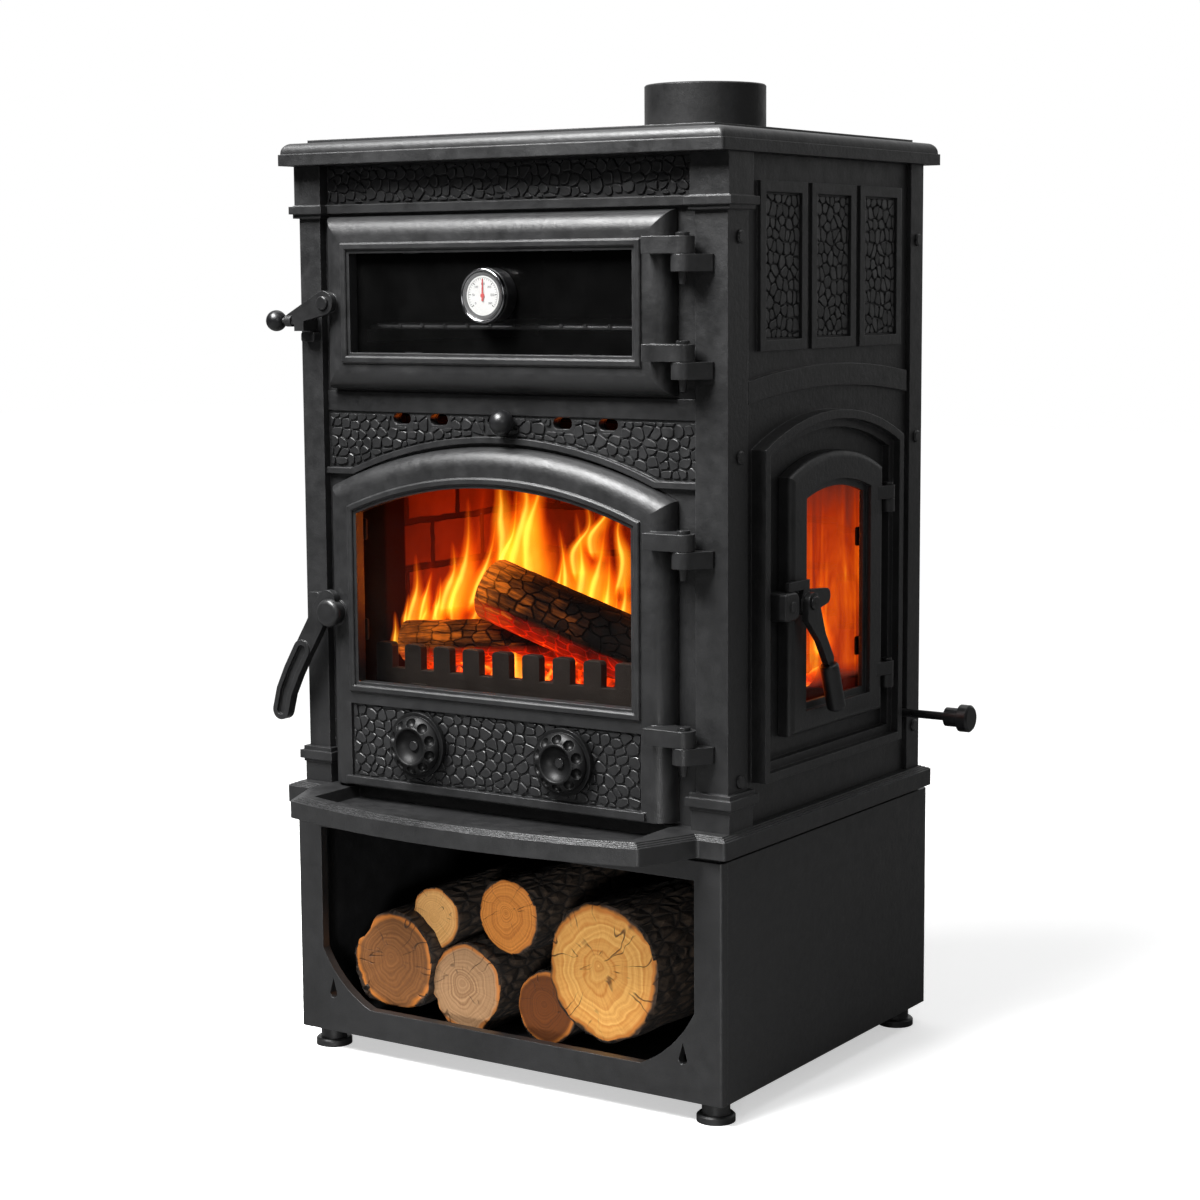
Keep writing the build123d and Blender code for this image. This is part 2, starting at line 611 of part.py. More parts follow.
def door_lug(z_low):
    """Lug of a door: an eye round the pin and a thick bar that runs on to the stile."""
    with BuildSketch(level(z_low)) as plan:
        with Locations((HINGE_X, HINGE_Y)):
            Circle(EYE_R)
        rectangle(LUG_ROOT_L, LUG_ROOT_R, HINGE_Y - EYE_R + 1, DOOR_BACK_Y - 6)
        make_hull()
        with Locations((HINGE_X, HINGE_Y)):
            Circle(PIN_R + RUN, mode=Mode.SUBTRACT)
    extrude(plan.sketch, amount=LUG_HEIGHT)


with BuildPart() as frame_hinge_lugs:
    for z in OVEN_HINGES + FIRE_HINGES:
        with BuildSketch(level(z - LUG_HEIGHT - LUG_GAP / 2)):
            with Locations((HINGE_X, HINGE_Y)):
                Circle(EYE_R)
            rectangle(INNER_RIGHT + 2, INNER_RIGHT + 24, PILASTER_Y - 3, PILASTER_Y)
            make_hull()
            with Locations((HINGE_X, HINGE_Y)):
                Circle(PIN_R, mode=Mode.SUBTRACT)
        extrude(amount=LUG_HEIGHT)
frame_hinge_lugs.part.label = "frame_hinge_lugs"
export_step(frame_hinge_lugs.part, "parts/frame_hinge_lugs.step")

PIN_HEAD_R = 7.5
PIN_HEAD = 3.5
PIN_TIP = 13.0

with BuildPart() as front_hinge_pins:
    for z in OVEN_HINGES + FIRE_HINGES:
        with BuildSketch(level(z + LUG_GAP / 2 + LUG_HEIGHT + LUG_GAP / 2)):
            with Locations((HINGE_X, HINGE_Y)):
                Circle(PIN_HEAD_R)
        extrude(amount=PIN_HEAD)
        with BuildSketch(level(z + LUG_GAP + LUG_HEIGHT)):
            with Locations((HINGE_X, HINGE_Y)):
                Circle(PIN_R)
        extrude(amount=-(2 * LUG_HEIGHT + 2 * LUG_GAP))
        with BuildSketch(level(z - LUG_HEIGHT - LUG_GAP)):
            with Locations((HINGE_X, HINGE_Y)):
                Circle(PIN_R)
        extrude(amount=-PIN_TIP, taper=7)
front_hinge_pins.part.label = "front_hinge_pins"
export_step(front_hinge_pins.part, "parts/front_hinge_pins.step")

# Oven door: a rolled frame, a bead round the window, and a rebate for the glass behind
OVEN_BEAD = (OVEN_L + OVEN_MARGIN, OVEN_R - OVEN_MARGIN, OVEN_BOTTOM + OVEN_MARGIN, OVEN_TOP - OVEN_MARGIN)
GLASS_LAP = 6.0
GLASS_PLAY = 0.5
REBATE_Y = 20.0
LAND_Y = REBATE_Y + GLASS
RIM = 20.0
SEAL_IN = 6.0
SEAL_WIDE = 8.0
SEAL_GROOVE = 5.0
WINDOW_IN = BEAD_WIDTH + 4.0


# Oven latch: a cast lever on the left stile, with a hook that drops over a catch and a ball
LATCH_X = OVEN_L + 12.0
LATCH_Z = 907.0
LATCH_FRONT = -6.0
LATCH_THICK = 7.0
LATCH_HUB_R = 14.0
LATCH_BOSS_R = 12.0
LEVER_GAP = 0.3
BALL_X = LATCH_X - 74.0
BALL_Z = 886.0
BALL_R = 12.5
LATCH_PIN_R = 4.5
HOOK_L = LATCH_X - 44.0
HOOK_R = LATCH_X - 30.0
HOOK_LOW = 874.0
PAD_Y = LATCH_FRONT + LATCH_THICK + LEVER_GAP


def shrink(box, margin):
    """Rectangle limits drawn in by a margin."""
    return (box[0] + margin, box[1] - margin, box[2] + margin, box[3] - margin)


OVEN = (OVEN_L, OVEN_R, OVEN_BOTTOM, OVEN_TOP)
OVEN_WINDOW = shrink(OVEN_BEAD, WINDOW_IN)

with BuildPart() as oven_door_frame:
    with BuildSketch(front(DOOR_BACK_Y)):
        rectangle(*OVEN)
    extrude(amount=DOOR_BACK_Y - DOOR_FRONT_Y)
    fillet(oven_door_frame.faces().sort_by(Axis.Y)[0].edges(), DOOR_ROLL)
    with BuildSketch(front(DOOR_FRONT_Y)):
        rectangle(*OVEN_BEAD)
        cut_rectangle(*shrink(OVEN_BEAD, BEAD_WIDTH))
    extrude(amount=BEAD_PROUD)
    chamfer(oven_door_frame.faces().sort_by(Axis.Y)[0].edges(), 1.5)
    with BuildSketch(front(DOOR_BACK_Y)):
        rectangle(*OVEN_WINDOW)
    extrude(amount=DOOR_BACK_Y - DOOR_FRONT_Y, mode=Mode.SUBTRACT)
    with BuildSketch(front(DOOR_BACK_Y)):
        rectangle(*shrink(OVEN, RIM))
    extrude(amount=DOOR_BACK_Y - LAND_Y, mode=Mode.SUBTRACT)
    with BuildSketch(front(LAND_Y)):
        rectangle(*shrink(OVEN_WINDOW, -GLASS_LAP - GLASS_PLAY))
    extrude(amount=LAND_Y - REBATE_Y, mode=Mode.SUBTRACT)
    with BuildSketch(front(DOOR_BACK_Y)):
        rectangle(*shrink(OVEN, SEAL_IN))
        cut_rectangle(*shrink(OVEN, SEAL_IN + SEAL_WIDE))
    extrude(amount=SEAL_GROOVE, mode=Mode.SUBTRACT)
    for z in OVEN_HINGES:
        door_lug(z + LUG_GAP / 2)
    with BuildSketch(front(REBATE_Y)):
        with Locations((LATCH_X, LATCH_Z)):
            Circle(LATCH_BOSS_R)
    extrude(amount=REBATE_Y - PAD_Y)
oven_door_frame.part.label = "oven_door_frame"
export_step(oven_door_frame.part, "parts/oven_door_frame.step")

with BuildPart() as oven_door_glass:
    with BuildSketch(front(LAND_Y)):
        rectangle(*shrink(OVEN_WINDOW, -GLASS_LAP))
    extrude(amount=GLASS)
oven_door_glass.part.label = "oven_door_glass"
export_step(oven_door_glass.part, "parts/oven_door_glass.step")

with BuildPart() as oven_door_seal:
    with BuildSketch(front(DOOR_BACK_Y + SEAL_PROUD)):
        rectangle(*shrink(OVEN, SEAL_IN + GLASS_PLAY))
        cut_rectangle(*shrink(OVEN, SEAL_IN + SEAL_WIDE - GLASS_PLAY))
    extrude(amount=SEAL_GROOVE + SEAL_PROUD)
oven_door_seal.part.label = "oven_door_seal"
export_step(oven_door_seal.part, "parts/oven_door_seal.step")

CLIP_LONG = 26.0
CLIP_WIDE = 14.0
CLIP_THICK = 2.5


def clips(places):
    """Flat clips that hold a front glass to the land behind its door."""
    for x, z, along in places:
        with BuildSketch(front(LAND_Y + CLIP_THICK)) as clip:
            with Locations((x, z)):
                if along:
                    RectangleRounded(CLIP_LONG, CLIP_WIDE, 3)
                else:
                    RectangleRounded(CLIP_WIDE, CLIP_LONG, 3)
        extrude(clip.sketch, amount=CLIP_THICK)


CLIP_SPREAD = 0.3
WINDOW_SPAN = OVEN_WINDOW[1] - OVEN_WINDOW[0]

with BuildPart() as oven_glass_clips:
    clips([(DOOR_X + s * CLIP_SPREAD * WINDOW_SPAN, z, True)
           for s in (-1, 1) for z in (OVEN_WINDOW[2] - GLASS_LAP, OVEN_WINDOW[3] + GLASS_LAP)])
oven_glass_clips.part.label = "oven_glass_clips"
export_step(oven_glass_clips.part, "parts/oven_glass_clips.step")

# Thermometer: a drum on the oven glass with a dial that faces forward
GAUGE_X = -10.0
GAUGE_Z = 915.0
GAUGE_R = 31.0
GAUGE_FRONT = -6.0
BEZEL = 4.0
BEZEL_WIDE = 5.0
DIAL_DEPTH = 3.0
NEEDLE_LONG = 19.0
NEEDLE_THICK = 0.8
HUB_R = 2.6
NEEDLE_GAP = 0.4

with BuildPart() as gauge_body:
    with BuildSketch(front(REBATE_Y)):
        with Locations((GAUGE_X, GAUGE_Z)):
            Circle(GAUGE_R)
    extrude(amount=REBATE_Y - GAUGE_FRONT - BEZEL)
    with BuildSketch(front(GAUGE_FRONT + BEZEL)):
        with Locations((GAUGE_X, GAUGE_Z)):
            Circle(GAUGE_R)
            Circle(GAUGE_R - BEZEL_WIDE, mode=Mode.SUBTRACT)
    extrude(amount=BEZEL)
    chamfer(gauge_body.faces().sort_by(Axis.Y)[0].edges(), 1.2)
gauge_body.part.label = "gauge_body"
export_step(gauge_body.part, "parts/gauge_body.step")

with BuildPart() as gauge_dial:
    with BuildSketch(front(GAUGE_FRONT + BEZEL)):
        with Locations((GAUGE_X, GAUGE_Z)):
            Circle(GAUGE_R - BEZEL_WIDE - 0.2)
    extrude(amount=BEZEL - DIAL_DEPTH)
gauge_dial.part.label = "gauge_dial"
export_step(gauge_dial.part, "parts/gauge_dial.step")

with BuildPart() as gauge_needle:
    with BuildSketch(front(GAUGE_FRONT + DIAL_DEPTH - NEEDLE_GAP)):
        with Locations((GAUGE_X, GAUGE_Z)):
            Circle(HUB_R)
        with BuildLine():
            tip_z = GAUGE_Z + NEEDLE_LONG
            Polyline((GAUGE_X - 1.3, GAUGE_Z - 6), (GAUGE_X + 1.3, GAUGE_Z - 6),
                     (GAUGE_X + 0.5, tip_z), (GAUGE_X - 0.5, tip_z), close=True)
        make_face()
    extrude(amount=NEEDLE_THICK)
gauge_needle.part.label = "gauge_needle"
export_step(gauge_needle.part, "parts/gauge_needle.step")

with BuildPart() as oven_latch_lever:
    with BuildSketch(front(LATCH_FRONT + LATCH_THICK)):
        with Locations((LATCH_X, LATCH_Z)):
            Circle(LATCH_HUB_R)
        with Locations((BALL_X + 24, BALL_Z + 2)):
            Circle(7)
        make_hull()
        rectangle(HOOK_L, HOOK_R, HOOK_LOW, LATCH_Z - 8)
        with Locations((LATCH_X, LATCH_Z)):
            Circle(LATCH_PIN_R + RUN, mode=Mode.SUBTRACT)
    extrude(amount=LATCH_THICK)
    with BuildSketch(front(PILASTER_Y - 3)):
        rectangle(HOOK_L, HOOK_R, HOOK_LOW, HOOK_LOW + 22)
    extrude(amount=PILASTER_Y - 3 - LATCH_FRONT)
    with BuildSketch(side(BALL_X + 26)):
        with Locations((LATCH_FRONT + LATCH_THICK / 2, BALL_Z)):
            Circle(7)
    extrude(amount=-9)
    with BuildSketch(side(BALL_X + 17)):
        with Locations((LATCH_FRONT + LATCH_THICK / 2, BALL_Z)):
            Circle(4)
    extrude(amount=-(17 - BALL_R + 1))
oven_latch_lever.part.label = "oven_latch_lever"
export_step(oven_latch_lever.part, "parts/oven_latch_lever.step")

with BuildPart() as oven_latch_ball:
    with BuildSketch(front(LATCH_FRONT + LATCH_THICK / 2)) as ball_half:
        with Locations((BALL_X, BALL_Z)):
            Circle(BALL_R)
        cut_rectangle(BALL_X - BALL_R - 1, BALL_X + BALL_R + 1, BALL_Z - BALL_R - 1, BALL_Z)
    revolve(axis=Axis((CX + BALL_X, CY + LATCH_FRONT + LATCH_THICK / 2, BALL_Z), (1, 0, 0)))
    with BuildSketch(side(BALL_X + BALL_R - 1)):
        with Locations((LATCH_FRONT + LATCH_THICK / 2, BALL_Z)):
            Circle(7)
    extrude(amount=2, mode=Mode.SUBTRACT)
oven_latch_ball.part.label = "oven_latch_ball"
export_step(oven_latch_ball.part, "parts/oven_latch_ball.step")

SCREW_HEAD_R = 8.0
SCREW_HEAD = 3.2

with BuildPart() as oven_latch_screw:
    with BuildSketch(front(PAD_Y)):
        with Locations((LATCH_X, LATCH_Z)):
            Circle(LATCH_PIN_R)
    extrude(amount=PAD_Y - LATCH_FRONT + LEVER_GAP)
    with BuildSketch(front(LATCH_FRONT - LEVER_GAP)):
        with Locations((LATCH_X, LATCH_Z)):
            Circle(SCREW_HEAD_R)
    extrude(amount=SCREW_HEAD)
    chamfer(oven_latch_screw.faces().sort_by(Axis.Y)[0].edges(), 1.2)
oven_latch_screw.part.label = "oven_latch_screw"
export_step(oven_latch_screw.part, "parts/oven_latch_screw.step")

# Fire door: rolled on its sides and arch, a beaded window, and a sunk field behind the air wheels
FIRE_SILL = 447.5
FIRE_BEAD = inset(FIRE, WINDOW_MARGIN, low=FIRE_SILL)
FIRE_WINDOW = inset(FIRE, WINDOW_MARGIN + WINDOW_IN, low=FIRE_SILL + WINDOW_IN)
FIELD = (FIRE_BEAD[0], FIRE_BEAD[1], 345.0, 433.0)
FIELD_DEPTH = 5.0
LEDGE_LOW = 336.0
LEDGE_Y = 2.0
WHEEL_SPREAD = 103.0
WHEEL_Z = 392.0
WHEEL_R = 39.0
AIR_HOLE_R = 8.0
AIR_HOLE_RING = 20.0
HANDLE_X = OVEN_L + 14.0
HANDLE_Z = 541.0
HANDLE_HUB_R = 15.0
HANDLE_BACK = 3.7
HANDLE_PAD_Y = HANDLE_BACK + LEVER_GAP
HANDLE_HUB_FRONT = -6.3
HANDLE_FRONT = -8.5

with BuildPart() as fire_door_frame:
    with BuildSketch(front(DOOR_BACK_Y)):
        add(arched(*FIRE))
    extrude(amount=DOOR_BACK_Y - DOOR_FRONT_Y)
    rim_edges = fire_door_frame.faces().sort_by(Axis.Y)[0].edges().sort_by(Axis.Z)
    fillet(rim_edges[1:], DOOR_ROLL)
    with BuildSketch(front(DOOR_FRONT_Y)):
        add(arched(*FIRE_BEAD))
        add(arched(*inset(FIRE_BEAD, BEAD_WIDTH)), mode=Mode.SUBTRACT)
    extrude(amount=BEAD_PROUD)
    chamfer(fire_door_frame.faces().sort_by(Axis.Y)[0].edges(), 1.5)
    with BuildSketch(front(DOOR_FRONT_Y)):
        rectangle(*FIELD)
    extrude(amount=-FIELD_DEPTH, mode=Mode.SUBTRACT)
    with BuildSketch(front(DOOR_FRONT_Y + 1)):
        rectangle(FIELD[0] - 6, FIELD[1] + 6, LEDGE_LOW, FIELD[2])
    extrude(amount=DOOR_FRONT_Y + 1 - LEDGE_Y)
    with BuildSketch(front(DOOR_BACK_Y)):
        add(arched(*FIRE_WINDOW))
        for s in (-1, 1):
            with Locations((DOOR_X + s * WHEEL_SPREAD, WHEEL_Z)):
                with PolarLocations(AIR_HOLE_RING, 4, start_angle=45):
                    Circle(AIR_HOLE_R)
    extrude(amount=DOOR_BACK_Y - DOOR_FRONT_Y, mode=Mode.SUBTRACT)
    with BuildSketch(front(DOOR_BACK_Y)):
        add(arched(*inset(FIRE, RIM)))
    extrude(amount=DOOR_BACK_Y - LAND_Y, mode=Mode.SUBTRACT)
    with BuildSketch(front(LAND_Y)):
        add(arched(*inset(FIRE_WINDOW, -GLASS_LAP - GLASS_PLAY)))
    extrude(amount=LAND_Y - REBATE_Y, mode=Mode.SUBTRACT)
    with BuildSketch(front(DOOR_BACK_Y)):
        add(arched(*inset(FIRE, SEAL_IN)))
        add(arched(*inset(FIRE, SEAL_IN + SEAL_WIDE)), mode=Mode.SUBTRACT)
    extrude(amount=SEAL_GROOVE, mode=Mode.SUBTRACT)
    for z in FIRE_HINGES:
        door_lug(z + LUG_GAP / 2)
    with BuildSketch(front(REBATE_Y)):
        with Locations((HANDLE_X, HANDLE_Z)):
            Circle(HANDLE_HUB_R + 1)
    extrude(amount=REBATE_Y - HANDLE_PAD_Y)
fire_door_frame.part.label = "fire_door_frame"
export_step(fire_door_frame.part, "parts/fire_door_frame.step")

with BuildPart() as fire_door_glass:
    with BuildSketch(front(LAND_Y)):
        add(arched(*inset(FIRE_WINDOW, -GLASS_LAP)))
    extrude(amount=GLASS)
fire_door_glass.part.label = "fire_door_glass"
export_step(fire_door_glass.part, "parts/fire_door_glass.step")

with BuildPart() as fire_door_seal:
    with BuildSketch(front(DOOR_BACK_Y + SEAL_PROUD)):
        add(arched(*inset(FIRE, SEAL_IN + GLASS_PLAY)))
        add(arched(*inset(FIRE, SEAL_IN + SEAL_WIDE - GLASS_PLAY)), mode=Mode.SUBTRACT)
    extrude(amount=SEAL_GROOVE + SEAL_PROUD)
fire_door_seal.part.label = "fire_door_seal"
export_step(fire_door_seal.part, "parts/fire_door_seal.step")

with BuildPart() as fire_glass_clips:
    clips([(x, z, False) for x in (FIRE_WINDOW[0] - GLASS_LAP, FIRE_WINDOW[1] + GLASS_LAP)
           for z in (520.0, 640.0)])
    clips([(DOOR_X + s * CLIP_SPREAD * WINDOW_SPAN, FIRE_WINDOW[2] - GLASS_LAP, True) for s in (-1, 1)])
fire_glass_clips.part.label = "fire_glass_clips"
export_step(fire_glass_clips.part, "parts/fire_glass_clips.step")

# Fire door handle: a curved cast lever that turns on the left stile, under a domed cap
HANDLE_OFFSETS = ((-5.0, 15.0), (-14.0, 4.0), (-26.0, -18.0), (-44.0, -47.5), (-60.0, -75.0),
                  (-72.0, -100.0), (-78.0, -123.0))
HANDLE_LINE = [(HANDLE_X + dx, HANDLE_Z + dz) for dx, dz in HANDLE_OFFSETS]
HANDLE_HALF = 12.0
GROOVE_HALF = 6.0
GROOVE_DEPTH = 4.5
HANDLE_PIN_R = 6.0
CAP_R = 17.0
CAP_THICK = 7.4

with BuildPart() as fire_handle:
    with BuildSketch(front(HANDLE_BACK)):
        with Locations((HANDLE_X, HANDLE_Z)):
            Circle(HANDLE_HUB_R)
        add(limb(HANDLE_LINE, HANDLE_HALF))
    extrude(amount=HANDLE_BACK - HANDLE_HUB_FRONT)
    with BuildSketch(front(HANDLE_HUB_FRONT)):
        add(limb(HANDLE_LINE[3:], HANDLE_HALF))
    extrude(amount=HANDLE_HUB_FRONT - HANDLE_FRONT)
    with BuildSketch(front(HANDLE_FRONT)):
        add(limb(HANDLE_LINE[3:], GROOVE_HALF))
    extrude(amount=-GROOVE_DEPTH, mode=Mode.SUBTRACT)
    with BuildSketch(front(HANDLE_BACK)):
        with Locations((HANDLE_X, HANDLE_Z)):
            Circle(HANDLE_PIN_R + RUN)
    extrude(amount=HANDLE_BACK - HANDLE_FRONT, mode=Mode.SUBTRACT)
fire_handle.part.label = "fire_handle"
export_step(fire_handle.part, "parts/fire_handle.step")

with BuildPart() as fire_handle_cap:
    with BuildSketch(front(HANDLE_PAD_Y)):
        with Locations((HANDLE_X, HANDLE_Z)):
            Circle(HANDLE_PIN_R)
    extrude(amount=HANDLE_PAD_Y - HANDLE_HUB_FRONT + LEVER_GAP)
    with BuildSketch(front(HANDLE_HUB_FRONT - LEVER_GAP)):
        with Locations((HANDLE_X, HANDLE_Z)):
            Circle(CAP_R)
    extrude(amount=CAP_THICK)
    fillet(fire_handle_cap.faces().sort_by(Axis.Y)[0].edges(), CAP_THICK - 1)
fire_handle_cap.part.label = "fire_handle_cap"
export_step(fire_handle_cap.part, "parts/fire_handle_cap.step")

# Catches on the left pilaster: the oven hook and the head of the fire handle rest by them
CATCH_PROUD = 11.0

with BuildPart() as door_catches:
    with BuildSketch(front(PILASTER_Y)) as catch_shapes:
        rectangle(HOOK_L - 3, HOOK_R + 3, HOOK_LOW - 13, HOOK_LOW - 1.5)
        rectangle(HANDLE_X - 46, HANDLE_X - 30, HANDLE_Z - 3, HANDLE_Z + 21)
        fillet(catch_shapes.vertices(), 3)
    extrude(amount=CATCH_PROUD)
door_catches.part.label = "door_catches"
export_step(door_catches.part, "parts/door_catches.step")

# Air wheels: a rear disc, a crown with ten finger scoops and a dished middle, on fixed spindles
WHEEL_BACK = 5.0
WHEEL_DISC = 6.0
CROWN_IN = 4.5
CROWN_EDGE = 3.5
CROWN_RISE = 13.5
BEAD_R = 22.0
BEAD_HALF = 1.7
WHEEL_SEAT = -4.0
WHEEL_SEAT_R = 7.5
SPINDLE_R = 4.0
SPINDLE_HEAD_R = 6.0
SPINDLE_HEAD = 2.6
SCOOPS = 10
SCOOP_R = 6.6
CROWN_Y = WHEEL_BACK - WHEEL_DISC
CROWN_R = WHEEL_R - CROWN_IN
BEAD_Y = CROWN_Y - CROWN_RISE
SCOOP_RING = (CROWN_R + BEAD_R + BEAD_HALF) / 2
SCOOP_Y = BEAD_Y + 2.5


def wheel(x):
    """One air wheel: its section turned about the spindle, then the scoops for the fingers."""
    middle = Plane(origin=(CX + x, CY, WHEEL_Z), x_dir=(0, 0, 1), z_dir=(-1, 0, 0))
    shoulder = (CROWN_R, CROWN_Y - CROWN_EDGE)
    bead_out = (BEAD_R + BEAD_HALF, BEAD_Y + 1.2)
    bead_in = (BEAD_R - BEAD_HALF, BEAD_Y + 0.8)
    crown_half = ((shoulder[0] + bead_out[0]) / 2 + 0.9, (shoulder[1] + bead_out[1]) / 2 - 0.9)
    dish_half = ((bead_in[0] + WHEEL_SEAT_R) / 2 + 1, (bead_in[1] + WHEEL_SEAT) / 2 + 1.6)
    with BuildSketch(middle) as section:
        with BuildLine():
            Polyline((SPINDLE_R + RUN, WHEEL_SEAT), (SPINDLE_R + RUN, WHEEL_BACK), (WHEEL_R, WHEEL_BACK),
                     (WHEEL_R, CROWN_Y), (CROWN_R, CROWN_Y), shoulder)
            ThreePointArc(shoulder, crown_half, bead_out)
            ThreePointArc(bead_out, (BEAD_R, BEAD_Y), bead_in)
            ThreePointArc(bead_in, dish_half, (WHEEL_SEAT_R, WHEEL_SEAT))
            Line((WHEEL_SEAT_R, WHEEL_SEAT), (SPINDLE_R + RUN, WHEEL_SEAT))
        make_face()
    revolve(section.sketch, axis=Axis((CX + x, CY, WHEEL_Z), (0, 1, 0)))
    for scoop in range(SCOOPS):
        turn = 2 * pi * scoop / SCOOPS
        with Locations((CX + x + SCOOP_RING * sin(turn), CY + SCOOP_Y, WHEEL_Z + SCOOP_RING * cos(turn))):
            Sphere(SCOOP_R, mode=Mode.SUBTRACT)


with BuildPart() as air_wheel_left:
    wheel(DOOR_X - WHEEL_SPREAD)
air_wheel_left.part.label = "air_wheel_left"
export_step(air_wheel_left.part, "parts/air_wheel_left.step")

with BuildPart() as air_wheel_right:
    wheel(DOOR_X + WHEEL_SPREAD)
air_wheel_right.part.label = "air_wheel_right"
export_step(air_wheel_right.part, "parts/air_wheel_right.step")

with BuildPart() as air_wheel_spindles:
    for s in (-1, 1):
        with BuildSketch(front(DOOR_FRONT_Y + FIELD_DEPTH)):
            with Locations((DOOR_X + s * WHEEL_SPREAD, WHEEL_Z)):
                Circle(SPINDLE_R)
        extrude(amount=DOOR_FRONT_Y + FIELD_DEPTH - WHEEL_SEAT + LEVER_GAP)
        with BuildSketch(front(WHEEL_SEAT - LEVER_GAP)):
            with Locations((DOOR_X + s * WHEEL_SPREAD, WHEEL_Z)):
                Circle(SPINDLE_HEAD_R)
        extrude(amount=SPINDLE_HEAD)
    fillet(air_wheel_spindles.edges().filter_by(GeomType.CIRCLE).group_by(Axis.Y)[0], 1.5)
air_wheel_spindles.part.label = "air_wheel_spindles"
export_step(air_wheel_spindles.part, "parts/air_wheel_spindles.step")

# Side door: an arched leaf with a small window, hung at the rear edge
SIDE_STILE = 41.0
SIDE_BEAD = 8.0
SIDE_SILL = 453.0
SIDE_WINDOW = inset(LEAF, SIDE_STILE, low=SIDE_SILL)
SIDE_STEP = 6.0
SIDE_RIM = 18.0
SIDE_LAND = LEAF_BACK + 3.0
SIDE_GLASS = 4.0
SIDE_SEAL_IN = 4.0
SIDE_SEAL_WIDE = 7.0
SIDE_GROOVE = 3.0
SIDE_EYE = 8.0
SIDE_GAP = 0.5
SIDE_LATCH_Y = LEAF_FRONT_EDGE + 20.0
SIDE_LATCH_Z = 571.0
SIDE_BOSS_R = 14.0
SIDE_LATCH_BACK = LEAF_X + 3.0

with BuildPart() as side_door_frame:
    with BuildSketch(side(LEAF_BACK)):
        add(arched(*LEAF))
    extrude(amount=LEAF_X - LEAF_BACK)
    fillet(side_door_frame.faces().sort_by(Axis.X)[-1].edges(), 8)
    with BuildSketch(side(LEAF_X)):
        add(arched(*inset(SIDE_WINDOW, -SIDE_BEAD)))
    extrude(amount=-SIDE_STEP, mode=Mode.SUBTRACT)
    with BuildSketch(side(LEAF_X)):
        add(arched(*SIDE_WINDOW))
    extrude(amount=-(LEAF_X - LEAF_BACK), mode=Mode.SUBTRACT)
    with BuildSketch(side(SIDE_LAND)):
        add(arched(*inset(LEAF, SIDE_RIM)))
    extrude(amount=-(SIDE_LAND - LEAF_BACK), mode=Mode.SUBTRACT)
    with BuildSketch(side(SIDE_LAND)):
        add(arched(*inset(SIDE_WINDOW, -GLASS_LAP - GLASS_PLAY)))
    extrude(amount=SIDE_GLASS, mode=Mode.SUBTRACT)
    with BuildSketch(side(LEAF_BACK)):
        add(arched(*inset(LEAF, SIDE_SEAL_IN)))
        add(arched(*inset(LEAF, SIDE_SEAL_IN + SIDE_SEAL_WIDE)), mode=Mode.SUBTRACT)
    extrude(amount=SIDE_GROOVE, mode=Mode.SUBTRACT)
    for z in SIDE_HINGES:
        with BuildSketch(level(z + SIDE_GAP / 2)) as lug:
            with Locations((SIDE_HINGE_X, SIDE_HINGE_Y)):
                Circle(SIDE_EYE)
            rectangle(SIDE_HINGE_X - 8, SIDE_HINGE_X + 1, LEAF_REAR_EDGE - 20, LEAF_REAR_EDGE - 10)
            make_hull()
            with Locations((SIDE_HINGE_X, SIDE_HINGE_Y)):
                Circle(SIDE_PIN_R + RUN, mode=Mode.SUBTRACT)
        extrude(amount=SIDE_LUG)
    with BuildSketch(side(SIDE_LATCH_BACK - LEVER_GAP)):
        with Locations((SIDE_LATCH_Y, SIDE_LATCH_Z)):
            Circle(SIDE_BOSS_R)
    extrude(amount=-(SIDE_LATCH_BACK - LEVER_GAP - LEAF_X + 3))
side_door_frame.part.label = "side_door_frame"
export_step(side_door_frame.part, "parts/side_door_frame.step")

with BuildPart() as side_door_glass:
    with BuildSketch(side(SIDE_LAND)):
        add(arched(*inset(SIDE_WINDOW, -GLASS_LAP)))
    extrude(amount=SIDE_GLASS)
side_door_glass.part.label = "side_door_glass"
export_step(side_door_glass.part, "parts/side_door_glass.step")

with BuildPart() as side_door_seal:
    with BuildSketch(side(LEAF_BACK - SEAL_PROUD)):
        add(arched(*inset(LEAF, SIDE_SEAL_IN + GLASS_PLAY)))
        add(arched(*inset(LEAF, SIDE_SEAL_IN + SIDE_SEAL_WIDE - GLASS_PLAY)), mode=Mode.SUBTRACT)
    extrude(amount=SIDE_GROOVE + SEAL_PROUD)
side_door_seal.part.label = "side_door_seal"
export_step(side_door_seal.part, "parts/side_door_seal.step")

with BuildPart() as side_glass_clips:
    for y in (SIDE_WINDOW[0] - GLASS_LAP, SIDE_WINDOW[1] + GLASS_LAP):
        for z in (500.0, 630.0):
            with BuildSketch(side(SIDE_LAND)):
                with Locations((y, z)):
                    RectangleRounded(12, 22, 3)
            extrude(amount=-2)
side_glass_clips.part.label = "side_glass_clips"
export_step(side_glass_clips.part, "parts/side_glass_clips.step")

with BuildPart() as side_hinge_lugs:
    for z in SIDE_HINGES:
        with BuildSketch(level(z - SIDE_GAP / 2)):
            with Locations((SIDE_HINGE_X, SIDE_HINGE_Y)):
                Circle(SIDE_EYE)
            rectangle(PANEL_X, PANEL_X + 3, SIDE_HINGE_Y - 6, SIDE_HINGE_Y + 12)
            make_hull()
            with Locations((SIDE_HINGE_X, SIDE_HINGE_Y)):
                Circle(SIDE_PIN_R, mode=Mode.SUBTRACT)
        extrude(amount=-SIDE_LUG)
side_hinge_lugs.part.label = "side_hinge_lugs"
export_step(side_hinge_lugs.part, "parts/side_hinge_lugs.step")

